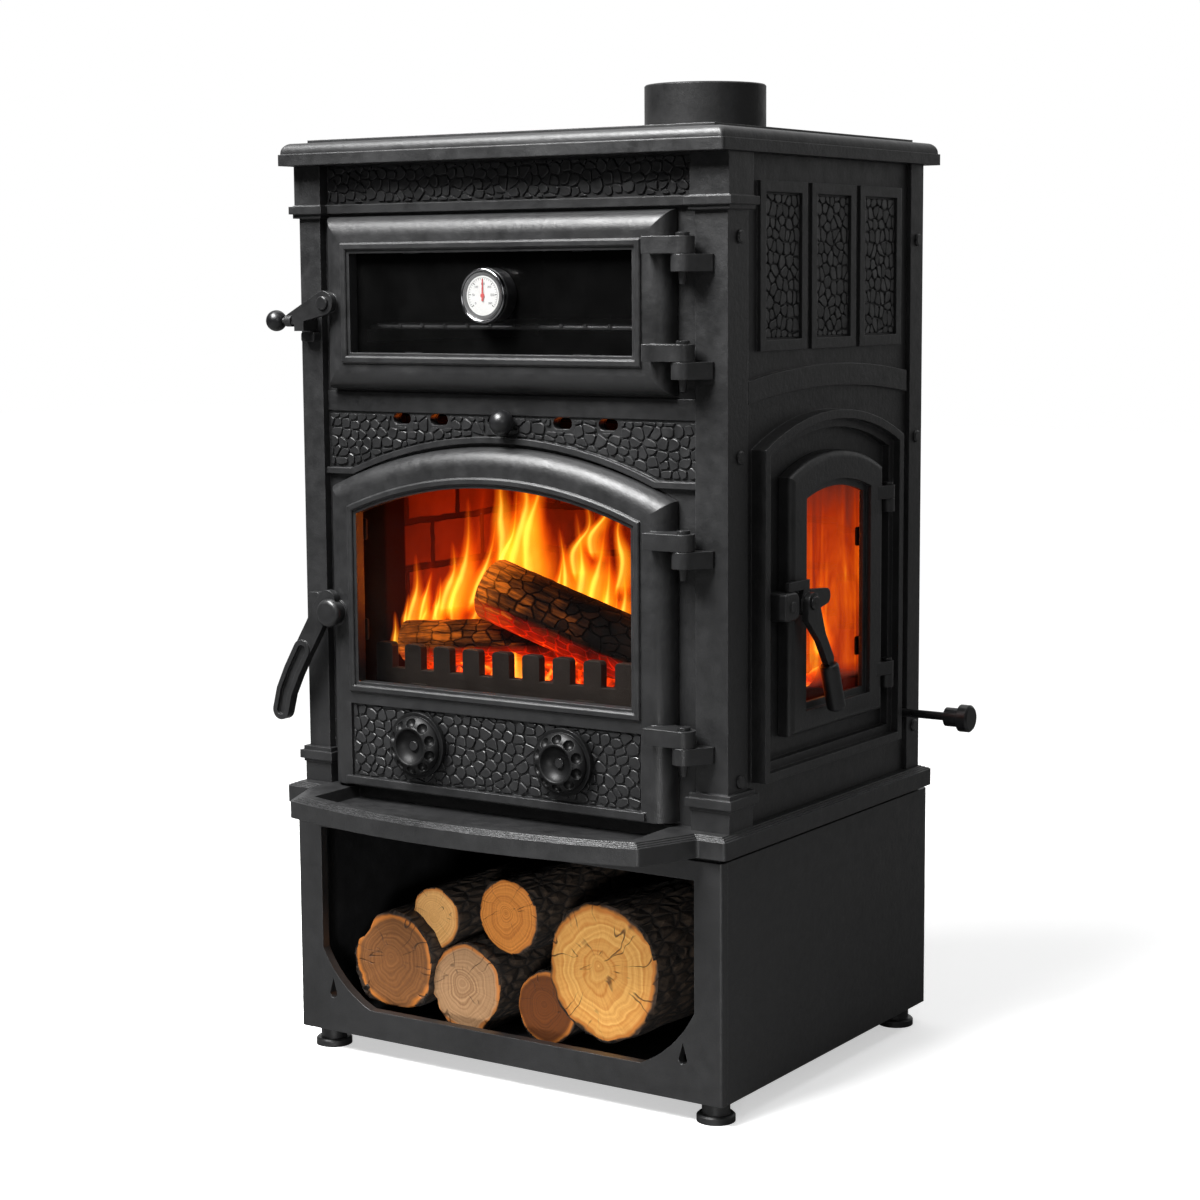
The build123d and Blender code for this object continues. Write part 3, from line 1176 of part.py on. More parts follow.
with BuildPart() as side_hinge_pins:
    for z in SIDE_HINGES:
        with BuildSketch(level(z - SIDE_GAP / 2 - SIDE_LUG)):
            with Locations((SIDE_HINGE_X, SIDE_HINGE_Y)):
                Circle(SIDE_PIN_R)
        extrude(amount=2 * SIDE_LUG + 2 * SIDE_GAP)
        with BuildSketch(level(z + SIDE_LUG + 1.5 * SIDE_GAP)):
            with Locations((SIDE_HINGE_X, SIDE_HINGE_Y)):
                Circle(SIDE_PIN_R + 2)
        extrude(amount=3)
side_hinge_pins.part.label = "side_hinge_pins"
export_step(side_hinge_pins.part, "parts/side_hinge_pins.step")

# Side latch: a bracket on the panel, and a rocker on the leaf whose claw drops over it
BRACKET = (LEAF_FRONT_EDGE - 36.0, LEAF_FRONT_EDGE - 6.0, SIDE_LATCH_Z - 16.0, SIDE_LATCH_Z + 15.0)
BRACKET_X = LEAF_X + 13.0
CLAW_THICK = 6.0
ARM_THICK = 8.0
GRIP_R = 11.0
ARM_BOSS_R = 12.0
ARM_HALF = 7.5
ARM_HEEL = (SIDE_LATCH_Y - 10.0, SIDE_LATCH_Z - 18.0)
ARM_WAIST = (SIDE_LATCH_Y + 21.0, SIDE_LATCH_Z - 41.0)
GRIP_TOP = (SIDE_LATCH_Y + 40.0, SIDE_LATCH_Z - 69.0)
GRIP_FOOT = (SIDE_LATCH_Y + 61.6, SIDE_LATCH_Z - 129.0)

with BuildPart() as side_latch_bracket:
    with BuildSketch(side(PANEL_X)) as bracket_shape:
        rectangle(*BRACKET)
        fillet(bracket_shape.vertices().sort_by(Axis.X)[:2], 3)
        fillet(bracket_shape.vertices().sort_by(Axis.X)[-2:], 9)
    extrude(amount=BRACKET_X - PANEL_X)
    chamfer(side_latch_bracket.faces().sort_by(Axis.X)[-1].edges(), 1.5)
    with BuildSketch(side(BRACKET_X)):
        with Locations(((BRACKET[0] + BRACKET[1]) / 2, SIDE_LATCH_Z - 1)):
            Circle(6)
    extrude(amount=1.6)
side_latch_bracket.part.label = "side_latch_bracket"
export_step(side_latch_bracket.part, "parts/side_latch_bracket.step")

with BuildPart() as side_latch_lever:
    with BuildSketch(side(SIDE_LATCH_BACK)):
        with Locations((SIDE_LATCH_Y, SIDE_LATCH_Z), (SIDE_LATCH_Y + 44, SIDE_LATCH_Z + 3)):
            Circle(9)
        with Locations((SIDE_LATCH_Y, SIDE_LATCH_Z)):
            Circle(15)
        make_hull()
    extrude(amount=CLAW_THICK)
    with BuildSketch(side(SIDE_LATCH_BACK)):
        rectangle(BRACKET[1] - 16, SIDE_LATCH_Y, BRACKET[3] + 0.6, BRACKET[3] + 11)
        rectangle(SIDE_LATCH_Y - 10, SIDE_LATCH_Y + 4, SIDE_LATCH_Z, BRACKET[3] + 11)
    extrude(amount=CLAW_THICK)
    with BuildSketch(side(SIDE_LATCH_BACK + CLAW_THICK)):
        with Locations((SIDE_LATCH_Y, SIDE_LATCH_Z)):
            Circle(ARM_BOSS_R)
        with Locations(ARM_HEEL):
            Circle(3)
        with Locations(ARM_WAIST):
            Circle(ARM_HALF)
        make_hull()
    extrude(amount=ARM_THICK)
    with BuildSketch(side(SIDE_LATCH_BACK + CLAW_THICK)):
        with Locations(ARM_WAIST, GRIP_TOP):
            Circle(ARM_HALF)
        make_hull()
    extrude(amount=ARM_THICK)
    with BuildSketch(side(SIDE_LATCH_BACK)):
        with Locations((SIDE_LATCH_Y, SIDE_LATCH_Z)):
            Circle(SIDE_PIN_R + RUN)
    extrude(amount=CLAW_THICK + ARM_THICK, mode=Mode.SUBTRACT)
side_latch_lever.part.label = "side_latch_lever"
export_step(side_latch_lever.part, "parts/side_latch_lever.step")

GRIP_RUN = (GRIP_FOOT[0] - GRIP_TOP[0], GRIP_FOOT[1] - GRIP_TOP[1])
GRIP_LONG = sqrt(GRIP_RUN[0] ** 2 + GRIP_RUN[1] ** 2)
GRIP_X = SIDE_LATCH_BACK + CLAW_THICK + ARM_THICK / 2
GRIP_PLANE = Plane(origin=(CX + GRIP_X, CY + GRIP_TOP[0], GRIP_TOP[1]), x_dir=(1, 0, 0),
                   z_dir=(0, GRIP_RUN[0], GRIP_RUN[1]))

with BuildPart() as side_latch_grip:
    with BuildSketch(GRIP_PLANE.offset(6)):
        Circle(GRIP_R)
    extrude(amount=GRIP_LONG - 6)
    fillet(side_latch_grip.edges().filter_by(GeomType.CIRCLE), 4)
    with BuildSketch(side(SIDE_LATCH_BACK + CLAW_THICK)):
        with Locations(GRIP_TOP):
            Circle(ARM_HALF)
    extrude(amount=ARM_THICK, mode=Mode.SUBTRACT)
side_latch_grip.part.label = "side_latch_grip"
export_step(side_latch_grip.part, "parts/side_latch_grip.step")

LATCH_STACK = CLAW_THICK + ARM_THICK + 2 * LEVER_GAP

with BuildPart() as side_latch_screw:
    with BuildSketch(side(SIDE_LATCH_BACK - LEVER_GAP)):
        with Locations((SIDE_LATCH_Y, SIDE_LATCH_Z)):
            Circle(SIDE_PIN_R)
    extrude(amount=LATCH_STACK)
    with BuildSketch(side(SIDE_LATCH_BACK - LEVER_GAP + LATCH_STACK)):
        with Locations((SIDE_LATCH_Y, SIDE_LATCH_Z)):
            Circle(SCREW_HEAD_R)
    extrude(amount=SCREW_HEAD)
    chamfer(side_latch_screw.faces().sort_by(Axis.X)[-1].edges(), 1.2)
side_latch_screw.part.label = "side_latch_screw"
export_step(side_latch_screw.part, "parts/side_latch_screw.step")

# Secondary air slide behind the frieze, moved by a ball knob in front of it
KNOB_R = 14.0
KNOB_Y = 16.0
SLIDE_Y = FRAME_BACK + LEVER_GAP

with BuildPart() as air_slide:
    with BuildSketch(front(SLIDE_Y + SLIDE_THICK)):
        rectangle(SLIDE_L, SLIDE_R, SLOT_Z - SLIDE_HALF, SLOT_Z + SLIDE_HALF)
        for x in SLOT_X:
            with Locations((x, SLOT_Z)):
                SlotOverall(SLOT_LONG, SLOT_HIGH, mode=Mode.SUBTRACT)
    extrude(amount=SLIDE_THICK)
    with BuildSketch(front(SLIDE_Y)):
        with Locations((AIR_KNOB_X, SLOT_Z)):
            Circle(STEM_R)
    extrude(amount=SLIDE_Y - KNOB_Y - KNOB_R + 2)
air_slide.part.label = "air_slide"
export_step(air_slide.part, "parts/air_slide.step")

with BuildPart() as air_knob:
    with BuildSketch(front(KNOB_Y)) as knob_half:
        with Locations((AIR_KNOB_X, SLOT_Z)):
            Circle(KNOB_R)
        cut_rectangle(AIR_KNOB_X - KNOB_R - 1, AIR_KNOB_X + KNOB_R + 1, SLOT_Z - KNOB_R - 1, SLOT_Z)
    revolve(axis=Axis((CX + AIR_KNOB_X, CY + KNOB_Y, SLOT_Z), (1, 0, 0)))
    with BuildSketch(front(KNOB_Y + KNOB_R - 2)):
        with Locations((AIR_KNOB_X, SLOT_Z)):
            Circle(STEM_R + 4)
    extrude(amount=-3, mode=Mode.SUBTRACT)
air_knob.part.label = "air_knob"
export_step(air_knob.part, "parts/air_knob.step")

with BuildPart() as gauge_lens:
    with BuildSketch(front(GAUGE_FRONT + 1.4)):
        with Locations((GAUGE_X, GAUGE_Z)):
            Circle(GAUGE_R - BEZEL_WIDE)
    extrude(amount=0.8)
gauge_lens.part.label = "gauge_lens"
export_step(gauge_lens.part, "parts/gauge_lens.step")

# Oven: a sheet box hung behind the frame by its flange, with a wire rack on two ledges
OVEN_BOX = shrink(OVEN, DOOR_LAP + 4.0)
OVEN_BACK = BODY_BACK - 55.0
OVEN_SHEET = 3.0
OVEN_FLANGE = 10.0
RACK_Z = 878.0
RACK_SIDE = 5.0
RACK_WIRE = 2.2
RACK_BARS = 13
RACK_FRONT = FRAME_BACK + 22.0
RACK_REAR = OVEN_BACK - 22.0

with BuildPart() as oven_box:
    with BuildSketch(front(FRAME_BACK + OVEN_SHEET)):
        rectangle(*shrink(OVEN_BOX, -OVEN_FLANGE))
    extrude(amount=OVEN_SHEET)
    with BuildSketch(front(OVEN_BACK)):
        rectangle(*OVEN_BOX)
    extrude(amount=OVEN_BACK - FRAME_BACK)
    with BuildSketch(front(OVEN_BACK - OVEN_SHEET)):
        rectangle(*shrink(OVEN_BOX, OVEN_SHEET))
    extrude(amount=OVEN_BACK - OVEN_SHEET - FRAME_BACK, mode=Mode.SUBTRACT)
oven_box.part.label = "oven_box"
export_step(oven_box.part, "parts/oven_box.step")

RACK_REST = RACK_Z - 3.0

with BuildPart() as oven_rack_supports:
    for wall, way in ((OVEN_BOX[0] + OVEN_SHEET, 1), (OVEN_BOX[1] - OVEN_SHEET, -1)):
        with BuildSketch(front(OVEN_BACK - 16)):
            left = min(wall, wall + way * 14)
            rectangle(left, left + 14, RACK_REST - 3, RACK_REST)
            low = min(wall, wall + way * 3)
            rectangle(low, low + 3, RACK_REST - 15, RACK_REST - 3)
        extrude(amount=OVEN_BACK - 16 - FRAME_BACK - 18)
oven_rack_supports.part.label = "oven_rack_supports"
export_step(oven_rack_supports.part, "parts/oven_rack_supports.step")

RACK_L = OVEN_BOX[0] + OVEN_SHEET + RACK_SIDE
RACK_R = OVEN_BOX[1] - OVEN_SHEET - RACK_SIDE

with BuildPart() as oven_rack:
    with BuildSketch(side(RACK_L)):
        for y in (RACK_FRONT, (RACK_FRONT + RACK_REAR) / 2, RACK_REAR):
            with Locations((y, RACK_Z)):
                Circle(3)
    extrude(amount=RACK_R - RACK_L)
    with BuildSketch(front(RACK_REAR + 5)):
        for bar in range(RACK_BARS):
            with Locations((RACK_L + 12 + (RACK_R - RACK_L - 24) * bar / (RACK_BARS - 1), RACK_Z + 2.4)):
                Circle(RACK_WIRE)
    extrude(amount=RACK_REAR - RACK_FRONT + 10)
oven_rack.part.label = "oven_rack"
export_step(oven_rack.part, "parts/oven_rack.step")

# Firebox: a floor with aprons below it, a loose grate in its rebate, brick walls and a baffle
FLOOR_Z = 412.0
FLOOR_TOP = 424.0
BOX_HALF = PANEL_IN - 1.0
GRATE_HALF = 112.0
GRATE_REAR_GAP = 48.0
BRICK_THICK = 25.0
BRICK_FRONT = FRAME_BACK + 18.0
BRICK_BACK = BODY_BACK - 45.0
GRATE_SPAN = (178.0, BRICK_BACK - GRATE_REAR_GAP)
GRATE_LIP = 9.0
GRATE_THICK = 8.0
APRON_L = OVEN_L + 39.0
APRON_R = OVEN_R - 37.0
APRON_BACK = BODY_BACK - 15.0
APRON_WALL = 6.0
RAIL_LOW = 390.0
RAIL_HIGH = 396.0
RAIL_SPAN = ((GRATE_SPAN[0] + 18.0, GRATE_SPAN[0] + 28.0), (GRATE_SPAN[1] - 18.0, GRATE_SPAN[1] - 8.0))
BRICK_TOP = 770.0
GRATE_X = DOOR_X + 1.0
BRICK_PLAY = 4.0
BRICK_HALF = BOX_HALF - BRICK_PLAY

with BuildPart() as firebox_floor:
    with BuildSketch(level(FLOOR_Z)):
        rectangle(-BOX_HALF, BOX_HALF, FRAME_BACK + 1, BODY_BACK - PANEL_WALL - 1)
        cut_rectangle(GRATE_X - GRATE_HALF + GRATE_LIP, GRATE_X + GRATE_HALF - GRATE_LIP,
                      GRATE_SPAN[0] + GRATE_LIP, GRATE_SPAN[1] - GRATE_LIP)
    extrude(amount=FLOOR_TOP - FLOOR_Z)
    with BuildSketch(level(FLOOR_TOP)):
        rectangle(GRATE_X - GRATE_HALF - 0.5, GRATE_X + GRATE_HALF + 0.5,
                  GRATE_SPAN[0] - 0.5, GRATE_SPAN[1] + 0.5)
    extrude(amount=-GRATE_THICK, mode=Mode.SUBTRACT)
    with BuildSketch(level(PLATE_TOP)):
        rectangle(APRON_L, APRON_L + APRON_WALL, FRAME_BACK + 1, APRON_BACK)
        rectangle(APRON_R - APRON_WALL, APRON_R, FRAME_BACK + 1, APRON_BACK)
        rectangle(APRON_L, APRON_R, APRON_BACK - APRON_WALL, APRON_BACK)
    extrude(amount=FLOOR_Z - PLATE_TOP)
    with BuildSketch(level(RAIL_LOW)):
        for rail in RAIL_SPAN:
            rectangle(APRON_L + APRON_WALL, APRON_R - APRON_WALL, *rail)
    extrude(amount=RAIL_HIGH - RAIL_LOW)
    with BuildSketch(side(APRON_R)):
        with Locations((ROD_Y, ROD_Z)):
            Circle(ROD_R + 0.4)
    extrude(amount=-APRON_WALL, mode=Mode.SUBTRACT)
firebox_floor.part.label = "firebox_floor"
export_step(firebox_floor.part, "parts/firebox_floor.step")

GRATE_SLOTS = 9

with BuildPart() as grate:
    with BuildSketch(level(FLOOR_TOP)):
        rectangle(GRATE_X - GRATE_HALF, GRATE_X + GRATE_HALF, *GRATE_SPAN)
        for slot in range(GRATE_SLOTS):
            x = GRATE_X + (slot - (GRATE_SLOTS - 1) / 2) * 21
            cut_rectangle(x - 5, x + 5, GRATE_SPAN[0] + 22, GRATE_SPAN[1] - 22)
    extrude(amount=-GRATE_THICK)
grate.part.label = "grate"
export_step(grate.part, "parts/grate.step")

# Riddle: a slotted plate under the grate that the long rod slides from side to side
RIDDLE_Z = RAIL_HIGH + LEVER_GAP
RIDDLE_THICK = 5.0
RIDDLE_HALF = 118.0
ROD_START = GRATE_X + RIDDLE_HALF + 16.0
ROD_BOSS = 12.0
DISC_NEAR = (ROD_REACH - 33.0, ROD_REACH - 14.0, 11.5)
DISC_FAR = (ROD_REACH - 14.0, ROD_REACH, 16.5)

with BuildPart() as riddle_plate:
    with BuildSketch(level(RIDDLE_Z)):
        rectangle(GRATE_X - RIDDLE_HALF, GRATE_X + RIDDLE_HALF, GRATE_SPAN[0] + 6, ROD_Y + ROD_BOSS)
        for slot in range(GRATE_SLOTS):
            x = GRATE_X + (slot - (GRATE_SLOTS - 1) / 2) * 21
            cut_rectangle(x - 5, x + 5, GRATE_SPAN[0] + 36, GRATE_SPAN[1] - 26)
    extrude(amount=RIDDLE_THICK)
    with BuildSketch(level(RIDDLE_Z)):
        rectangle(ROD_START - 30, ROD_START, ROD_Y - ROD_BOSS, ROD_Y + ROD_BOSS)
    extrude(amount=FLOOR_Z - RIDDLE_Z - 1)
    with BuildSketch(side(ROD_START)):
        with Locations((ROD_Y, ROD_Z)):
            Circle(ROD_R)
    extrude(amount=-20, mode=Mode.SUBTRACT)
riddle_plate.part.label = "riddle_plate"
export_step(riddle_plate.part, "parts/riddle_plate.step")

with BuildPart() as riddle_rod:
    with BuildSketch(side(ROD_START - 20)):
        with Locations((ROD_Y, ROD_Z)):
            Circle(ROD_R)
    extrude(amount=DISC_NEAR[0] - ROD_START + 20)
riddle_rod.part.label = "riddle_rod"
export_step(riddle_rod.part, "parts/riddle_rod.step")

with BuildPart() as riddle_knob:
    for start, end, radius in (DISC_NEAR, DISC_FAR):
        with BuildSketch(side(start)):
            with Locations((ROD_Y, ROD_Z)):
                Circle(radius)
        extrude(amount=end - start)
    chamfer(riddle_knob.edges().filter_by(GeomType.CIRCLE).sort_by(Axis.X)[-1], 2.5)
riddle_knob.part.label = "riddle_knob"
export_step(riddle_knob.part, "parts/riddle_knob.step")

COMB_LEFT = OVEN_L + 43.0
COMB_BACK = FRAME_BACK + 30.0
COMB_THICK = 12.0
COMB_PITCH = 43.0
COMB_TEETH = 10
TOOTH = 24.0
COMB_GAP_Z = FLOOR_TOP + 46.0
COMB_TOP_Z = FLOOR_TOP + 76.0

with BuildPart() as log_comb:
    with BuildSketch(front(COMB_BACK)) as comb_shape:
        rectangle(COMB_LEFT - TOOTH / 2, COMB_LEFT + COMB_PITCH * (COMB_TEETH - 1) + TOOTH / 2,
                  FLOOR_TOP, COMB_GAP_Z)
        for tooth in range(COMB_TEETH):
            x = COMB_LEFT + COMB_PITCH * tooth
            rectangle(x - TOOTH / 2, x + TOOTH / 2, COMB_GAP_Z - 2, COMB_TOP_Z)
        fillet(comb_shape.vertices().group_by(Axis.Y)[-1], 5)
    extrude(amount=COMB_THICK)
log_comb.part.label = "log_comb"
export_step(log_comb.part, "parts/log_comb.step")

with BuildPart() as firebrick_back:
    with BuildSketch(level(FLOOR_TOP)):
        rectangle(-BRICK_HALF, BRICK_HALF, BRICK_BACK, BRICK_BACK + BRICK_THICK)
    extrude(amount=BRICK_TOP - FLOOR_TOP)
firebrick_back.part.label = "firebrick_back"
export_step(firebrick_back.part, "parts/firebrick_back.step")

with BuildPart() as firebricks_side:
    with BuildSketch(level(FLOOR_TOP)):
        rectangle(-BRICK_HALF, -BRICK_HALF + BRICK_THICK, BRICK_FRONT, BRICK_BACK)
        rectangle(BRICK_HALF - BRICK_THICK, BRICK_HALF, BRICK_FRONT, LEAF_FRONT_EDGE + 10)
        rectangle(BRICK_HALF - BRICK_THICK, BRICK_HALF, LEAF_REAR_EDGE - 10, BRICK_BACK)
    extrude(amount=BRICK_TOP - FLOOR_TOP)
firebricks_side.part.label = "firebricks_side"
export_step(firebricks_side.part, "parts/firebricks_side.step")

BAFFLE_SETBACK = 60.0
BAFFLE_THICK = 12.0

with BuildPart() as baffle_plate:
    with BuildSketch(level(BRICK_TOP)):
        rectangle(-BRICK_HALF, BRICK_HALF, BRICK_FRONT + BAFFLE_SETBACK, BRICK_BACK + BRICK_THICK)
    extrude(amount=BAFFLE_THICK)
baffle_plate.part.label = "baffle_plate"
export_step(baffle_plate.part, "parts/baffle_plate.step")

# Ash pan: folded sheet that slides in on the hearth plate under the grate
PAN_PLAY = 8.0
PAN = (APRON_L + APRON_WALL + PAN_PLAY, APRON_R - APRON_WALL - PAN_PLAY, FRAME_BACK + 10.0, BRICK_BACK)
PAN_TOP = 387.0
PAN_SHEET = 2.0
PAN_GRIP_HALF = 40.0
PAN_GRIP_OUT = 8.0
PAN_WIRE_R = 3.0

with BuildPart() as ash_pan:
    with BuildSketch(level(PLATE_TOP)):
        rectangle(*PAN)
    extrude(amount=PAN_TOP - PLATE_TOP)
    with BuildSketch(level(PLATE_TOP + PAN_SHEET)):
        rectangle(*shrink(PAN, PAN_SHEET))
    extrude(amount=PAN_TOP - PLATE_TOP, mode=Mode.SUBTRACT)
    with BuildSketch(front(PAN[2])):
        for s in (-1, 1):
            with Locations((GRATE_X + s * PAN_GRIP_HALF, PAN_TOP - 21)):
                Circle(PAN_WIRE_R)
    extrude(amount=PAN_GRIP_OUT)
    with BuildSketch(side(GRATE_X - PAN_GRIP_HALF - PAN_WIRE_R)):
        with Locations((PAN[2] - PAN_GRIP_OUT, PAN_TOP - 21)):
            Circle(PAN_WIRE_R)
    extrude(amount=2 * (PAN_GRIP_HALF + PAN_WIRE_R))
ash_pan.part.label = "ash_pan"
export_step(ash_pan.part, "parts/ash_pan.step")
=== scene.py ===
"""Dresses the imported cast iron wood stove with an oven: its castings, cobbled panels and oven
gauge, and round it the fire, the stacked logs, the floor and the light.

Places are given in stove terms, in millimetres: across from the middle of the body, back from
the front of the base, and up from the floor. at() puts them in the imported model's frame.
"""

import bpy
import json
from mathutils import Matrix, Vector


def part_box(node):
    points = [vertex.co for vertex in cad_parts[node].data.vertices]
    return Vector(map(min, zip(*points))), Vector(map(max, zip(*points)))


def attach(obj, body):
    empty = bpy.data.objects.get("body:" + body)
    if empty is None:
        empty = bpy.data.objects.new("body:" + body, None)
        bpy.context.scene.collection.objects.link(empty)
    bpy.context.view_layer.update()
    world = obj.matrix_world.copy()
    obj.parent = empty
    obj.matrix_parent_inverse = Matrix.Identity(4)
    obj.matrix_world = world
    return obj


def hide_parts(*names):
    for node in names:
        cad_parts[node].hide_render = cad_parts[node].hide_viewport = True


bl_info = {
    "name": "Cast iron oven stove",
    "version": (1, 0, 0),
    "blender": (4, 5, 0),
    "location": "View3D > Sidebar > Stove",
    "description": "Finishes, cobbled panels, gauge, fire and light of a wood stove with an oven",
    "category": "Object",
}

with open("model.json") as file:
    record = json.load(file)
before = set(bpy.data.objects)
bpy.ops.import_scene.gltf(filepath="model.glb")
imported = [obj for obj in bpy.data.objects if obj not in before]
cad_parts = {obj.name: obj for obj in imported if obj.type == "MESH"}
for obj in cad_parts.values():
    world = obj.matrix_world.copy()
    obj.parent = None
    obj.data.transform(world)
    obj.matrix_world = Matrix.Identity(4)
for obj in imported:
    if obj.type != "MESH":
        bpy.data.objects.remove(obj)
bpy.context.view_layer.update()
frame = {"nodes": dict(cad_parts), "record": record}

import json
import math
import random
from contextlib import contextmanager

import bpy
from mathutils import Matrix, Vector

MM = 0.001

# The middle of the body and the front of the base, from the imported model
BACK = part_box("back_panel")
MIDDLE_X = (BACK[0].x + BACK[1].x) / 2
BASE_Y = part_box("base_front")[0].y

# Faces that carry cobbles: the front casting, the side panels and the fire door's field
FRAME_Y, PANEL_X, FIELD_Y = 32.0, 289.0, 11.0
# The fire door's middle, its field from left to right and from low to high, and its air wheels
DOOR_X, FIELD = -13.0, (-216.5, 190.5, 346.0, 432.0)
WHEELS, WHEEL_Z, WHEEL_CLEAR = (-116.0, 90.0), 392.0, 33.0
# The friezes, with the slots and the knob's slot of the lower one, and the plain strip above it
FRIEZE_LEFT, FRIEZE_RIGHT = -264.0, 254.0
UPPER_FRIEZE = (1023.0, 1065.0)
LOWER_FRIEZE_TOP = 777.0
SLOT_X, SLOT_Z, SLOT_HALF = (-154.5, -100.5, 73.0, 134.5), 772.0, (15.0, 8.5)
KNOB_SLOT = (-13.5, SLOT_Z, 20.5, 7.5)
STRIP_Z, STRIP_THICK, STRIP_EDGE = (779.2, 803.0), 2.6, 1.1
# The moulding that arches over the fire door
ARCH_APEX, ARCH_SHOULDER, ARCH_HALF = 751.0, 711.0, 212.0
# The three cobbled fields of a side panel: from where to where, and the bars round them
SIDE_START, SIDE_END, SIDE_BETWEEN, SIDE_BAR = 93.0, 430.0, 11.0, 13.5
SIDE_Z = (866.5, 1024.5)


def at(x, y, z):
    """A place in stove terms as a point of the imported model's frame, in metres."""
    return Vector((MIDDLE_X + x * MM, BASE_Y + y * MM, z * MM))


# Properties


class StoveSizes(bpy.types.PropertyGroup):
    """Sizes of what is added to the castings."""

    cobble_pitch: bpy.props.FloatProperty(
        name="Cobble pitch", description="Distance from one cobble to the next on the panels",
        default=14.0 * MM, min=0.006, max=0.03, unit="LENGTH")
    cobble_gap: bpy.props.FloatProperty(
        name="Cobble joint", description="Width of the joint between two cobbles",
        default=1.7 * MM, min=0.0005, max=0.005, unit="LENGTH")
    cobble_rise: bpy.props.FloatProperty(
        name="Cobble rise", description="How far a cobble stands out of its panel",
        default=3.0 * MM, min=0.001, max=0.005, unit="LENGTH")
    log_length: bpy.props.FloatProperty(
        name="Log length", description="Length of the logs in the store",
        default=340.0 * MM, min=0.1, max=0.42, unit="LENGTH")
    flame_height: bpy.props.FloatProperty(
        name="Flame height", description="Height of the tallest flames above the grate",
        default=330.0 * MM, min=0.1, max=0.34, unit="LENGTH")


class StoveFinishes(bpy.types.PropertyGroup):
    """Colours and finishes of the stove."""

    iron: bpy.props.FloatVectorProperty(
        name="Cast iron", description="Colour of the blackened castings",
        default=(0.0125, 0.0126, 0.013), min=0, max=1, subtype="COLOR")
    # The worn edge colour is partly rubbed wear and partly a painted highlight along the castings' edges.
    iron_worn: bpy.props.FloatVectorProperty(
        name="Worn edge", description="Colour of the castings where an edge is rubbed",
        default=(0.085, 0.085, 0.087), min=0, max=1, subtype="COLOR")
    iron_roughness: bpy.props.FloatProperty(
        name="Cast roughness", description="Roughness of the castings' satin finish",
        default=0.42, min=0, max=1, subtype="FACTOR")
    grip: bpy.props.FloatVectorProperty(
        name="Grips", description="Colour of the black balls, knobs and grips",
        default=(0.006, 0.006, 0.0065), min=0, max=1, subtype="COLOR")
    brick: bpy.props.FloatVectorProperty(
        name="Firebrick", description="Colour of the bricks in the firebox",
        default=(0.30, 0.07, 0.025), min=0, max=1, subtype="COLOR")
    dial: bpy.props.FloatVectorProperty(
        name="Dial", description="Colour of the oven gauge's dial",
        default=(0.83, 0.83, 0.81), min=0, max=1, subtype="COLOR")
    needle: bpy.props.FloatVectorProperty(
        name="Needle", description="Colour of the oven gauge's needle",
        default=(0.62, 0.012, 0.01), min=0, max=1, subtype="COLOR")
    floor: bpy.props.FloatVectorProperty(
        name="Floor", description="Colour of the pale floor under the stove",
        default=(0.9, 0.9, 0.9), min=0, max=1, subtype="COLOR")


def sizes():
    """The sizes that are set in the panel."""
    return bpy.context.scene.stove_sizes


def finishes():
    """The colours and finishes that are set in the panel."""
    return bpy.context.scene.stove_finishes


# Modelling by hand


def alone(piece):
    """Leaves this piece the only one selected, and active."""
    bpy.ops.object.select_all(action="DESELECT")
    piece.select_set(True)
    bpy.context.view_layer.objects.active = piece


@contextmanager
def editing(piece, kind="FACE"):
    """Edit mode on one piece, back to object mode at the end."""
    alone(piece)
    bpy.context.tool_settings.mesh_select_mode = (False, kind == "EDGE", kind == "FACE")
    bpy.ops.object.mode_set(mode="EDIT")
    yield
    bpy.ops.object.mode_set(mode="OBJECT")


def pick(piece, test, kind="FACE"):
    """Selects, in object mode, just the faces or edges that pass a test."""
    mesh = piece.data
    for group in (mesh.vertices, mesh.edges, mesh.polygons):
        group.foreach_set("select", [False] * len(group))
    if kind == "FACE":
        for face in mesh.polygons:
            face.select = test(face)
    else:
        for edge in mesh.edges:
            edge.select = test(*(mesh.vertices[i].co for i in edge.vertices))


def placed(name, data):
    """A new object in the scene."""
    made = bpy.data.objects.new(name, data)
    bpy.context.scene.collection.objects.link(made)
    return made


def primitive(name, add, **settings):
    """A piece that starts as one of Blender's own primitives."""
    bpy.ops.object.select_all(action="DESELECT")
    add(location=(0, 0, 0), **settings)
    piece = bpy.context.object
    piece.name = piece.data.name = name
    return piece


def drawn(name, points, faces=(), edges=()):
    """A piece that starts as an outline drawn point by point."""
    mesh = bpy.data.meshes.new(name)
    mesh.from_pydata([tuple(p) for p in points], list(edges), list(faces))
    mesh.update()
    return placed(name, mesh)


def flat_shapes(name, shapes):
    """Closed flat pieces, each with a face on both sides, all in one mesh."""
    points, faces = [], []
    for shape in shapes:
        ring = list(range(len(points), len(points) + len(shape)))
        points += shape
        faces += [ring, ring[::-1]]
    return drawn(name, points, faces)


def turned(name, profile, centre, axis, steps):
    """A piece turned on a lathe from (radius, distance along the axis) points, in millimetres."""
    axis = Vector(axis)
    out = axis.orthogonal().normalized()
    points = [centre + out * (r * MM) + axis * (d * MM) for r, d in profile]
    piece = drawn(name, points, edges=[(i, i + 1) for i in range(len(points) - 1)])
    with editing(piece, "EDGE"):
        bpy.ops.mesh.select_all(action="SELECT")
        bpy.ops.mesh.spin(steps=steps, angle=2 * math.pi, center=centre, axis=axis)
        bpy.ops.mesh.select_all(action="SELECT")
        bpy.ops.mesh.remove_doubles(threshold=0.00001)
        bpy.ops.mesh.normals_make_consistent(inside=False)
    return smooth(piece)


